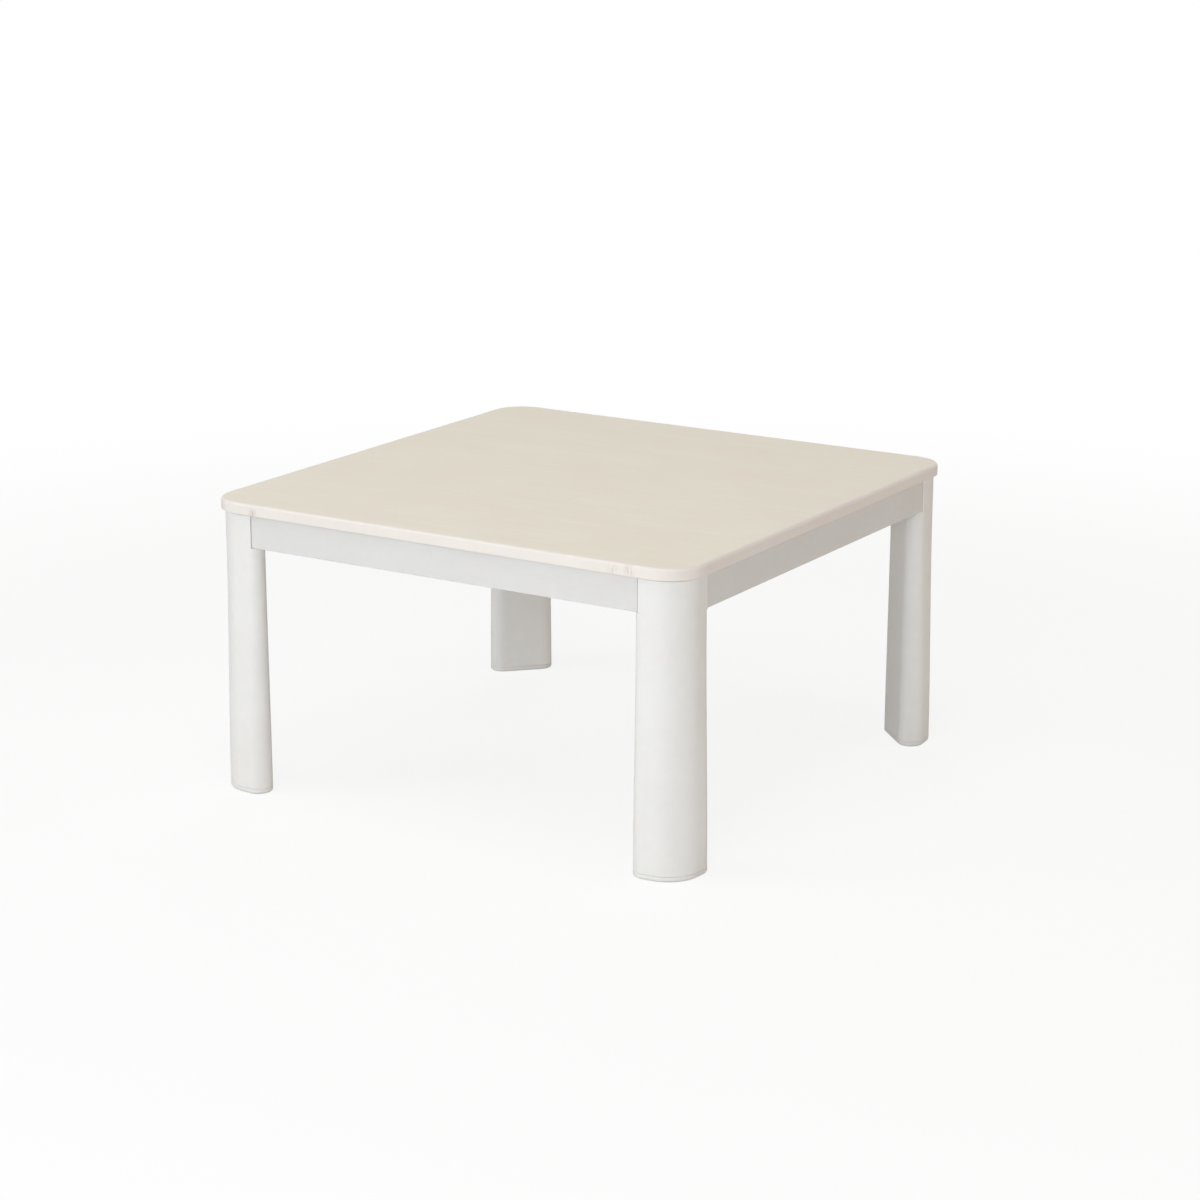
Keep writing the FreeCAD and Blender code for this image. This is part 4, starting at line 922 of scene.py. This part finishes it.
def buildFloor():
    # a pale disc that keeps the table's shadow
    look = floorLook
    t = around(look["sides"])
    ring = np.stack([np.cos(t), np.sin(t), np.zeros(len(t))], axis=1) * look["radius"]
    ring[:, 2] = -look["below"]
    mesh = bpy.data.meshes.new("floor")
    mesh.from_pydata(ring.tolist(), [], [list(range(len(ring)))])
    mesh.materials.append(floorFinish())
    floor = bpy.data.objects.new("floor", mesh)
    bpy.context.scene.collection.objects.link(floor)


worldLook = {"light": 0.2, "tone": (255, 247, 237)}


def buildWorld():
    # soft light all round; white to the camera, to reflections and through glass
    world = bpy.data.worlds.new("studio")
    bpy.context.scene.world = world
    world.use_nodes = True
    tree = world.node_tree
    path = put(tree, "LightPath").outputs
    shown = maths(tree, "MAXIMUM", path["Is Camera Ray"], path["Is Glossy Ray"])
    shown = maths(tree, "MAXIMUM", shown, path["Is Transmission Ray"])
    strength = remap(tree, shown, 0.0, 1.0, worldLook["light"], 1.0)
    colour = blendColours(tree, shown, tint(*worldLook["tone"]), (1, 1, 1, 1))
    background = tree.nodes["Background"]
    tree.links.new(colour, background.inputs["Color"])
    tree.links.new(strength, background.inputs["Strength"])


lampAim = (0, 0, 0.25)
lamps = {
    "keyLamp": {"place": (-2.6, -2.4, 1.8), "size": 1.8, "power": 41.5, "tone": (242, 249, 255)},
    "cornerLamp": {"place": (1.2, -3.2, 1.0), "size": 1.6, "power": 51.5, "tone": (242, 249, 255)},
    "topLamp": {"place": (0.1, -0.85, 2.95), "size": 2.0, "power": 32.0, "tone": (255, 252, 253)},
    "sideLamp": {"place": (2.7, 1.3, 1.1), "size": 1.6, "power": 17.0, "tone": (255, 242, 228)},
    "backLamp": {"place": (-1.5, 2.8, 2.0), "size": 1.8, "power": 19.0, "tone": (255, 253, 250)},
}


def aimMatrix(place, aim):
    turn = (Vector(aim) - Vector(place)).to_track_quat("-Z", "Y").to_matrix().to_4x4()
    return Matrix.Translation(place) @ turn


def buildLamps():
    # soft squares that aren't mirrored in the top; what it mirrors is the white world
    for name, look in lamps.items():
        lamp = bpy.data.lights.new(name, "AREA")
        lamp.shape = "SQUARE"
        lamp.size = look["size"]
        lamp.energy = look["power"]
        lamp.color = tint(*look["tone"])[:3]
        holder = bpy.data.objects.new(name, lamp)
        holder.matrix_world = aimMatrix(look["place"], lampAim)
        holder.visible_camera = False
        holder.visible_glossy = False
        bpy.context.scene.collection.objects.link(holder)


cameraLook = {
    "turn": 31.939, "height": 15.316, "roll": -0.063, "distance": 3.969224, "aside": 0.015799,
    "aimHeight": 0.220794, "focalPixels": 3018.46, "framePixels": 1200, "sensor": 36.0}


def buildCamera():
    # forward = (-sin a cos e, cos a cos e, -sin e), and the picture plane is rolled a little about it
    look = cameraLook
    a, e, r = (math.radians(look[key]) for key in ("turn", "height", "roll"))
    forward = Vector((-math.sin(a) * math.cos(e), math.cos(a) * math.cos(e), -math.sin(e)))
    level = Vector((math.cos(a), math.sin(a), 0))
    down = forward.cross(level)
    right = level * math.cos(r) + down * math.sin(r)
    up = level * math.sin(r) - down * math.cos(r)
    aim = Vector((0, 0, look["aimHeight"])) + right * look["aside"]
    place = aim - forward * look["distance"]
    lens = bpy.data.cameras.new("camera")
    lens.sensor_width = look["sensor"]
    lens.lens = look["focalPixels"] / look["framePixels"] * look["sensor"]
    holder = bpy.data.objects.new("camera", lens)
    turn = Matrix((right, up, -forward)).transposed().to_4x4()
    holder.matrix_world = Matrix.Translation(place) @ turn
    bpy.context.scene.collection.objects.link(holder)
    bpy.context.scene.camera = holder


buildFloor()
buildWorld()
buildLamps()
buildCamera()
bpy.context.scene.view_settings.view_transform = "Standard"
print("floor, light and camera")
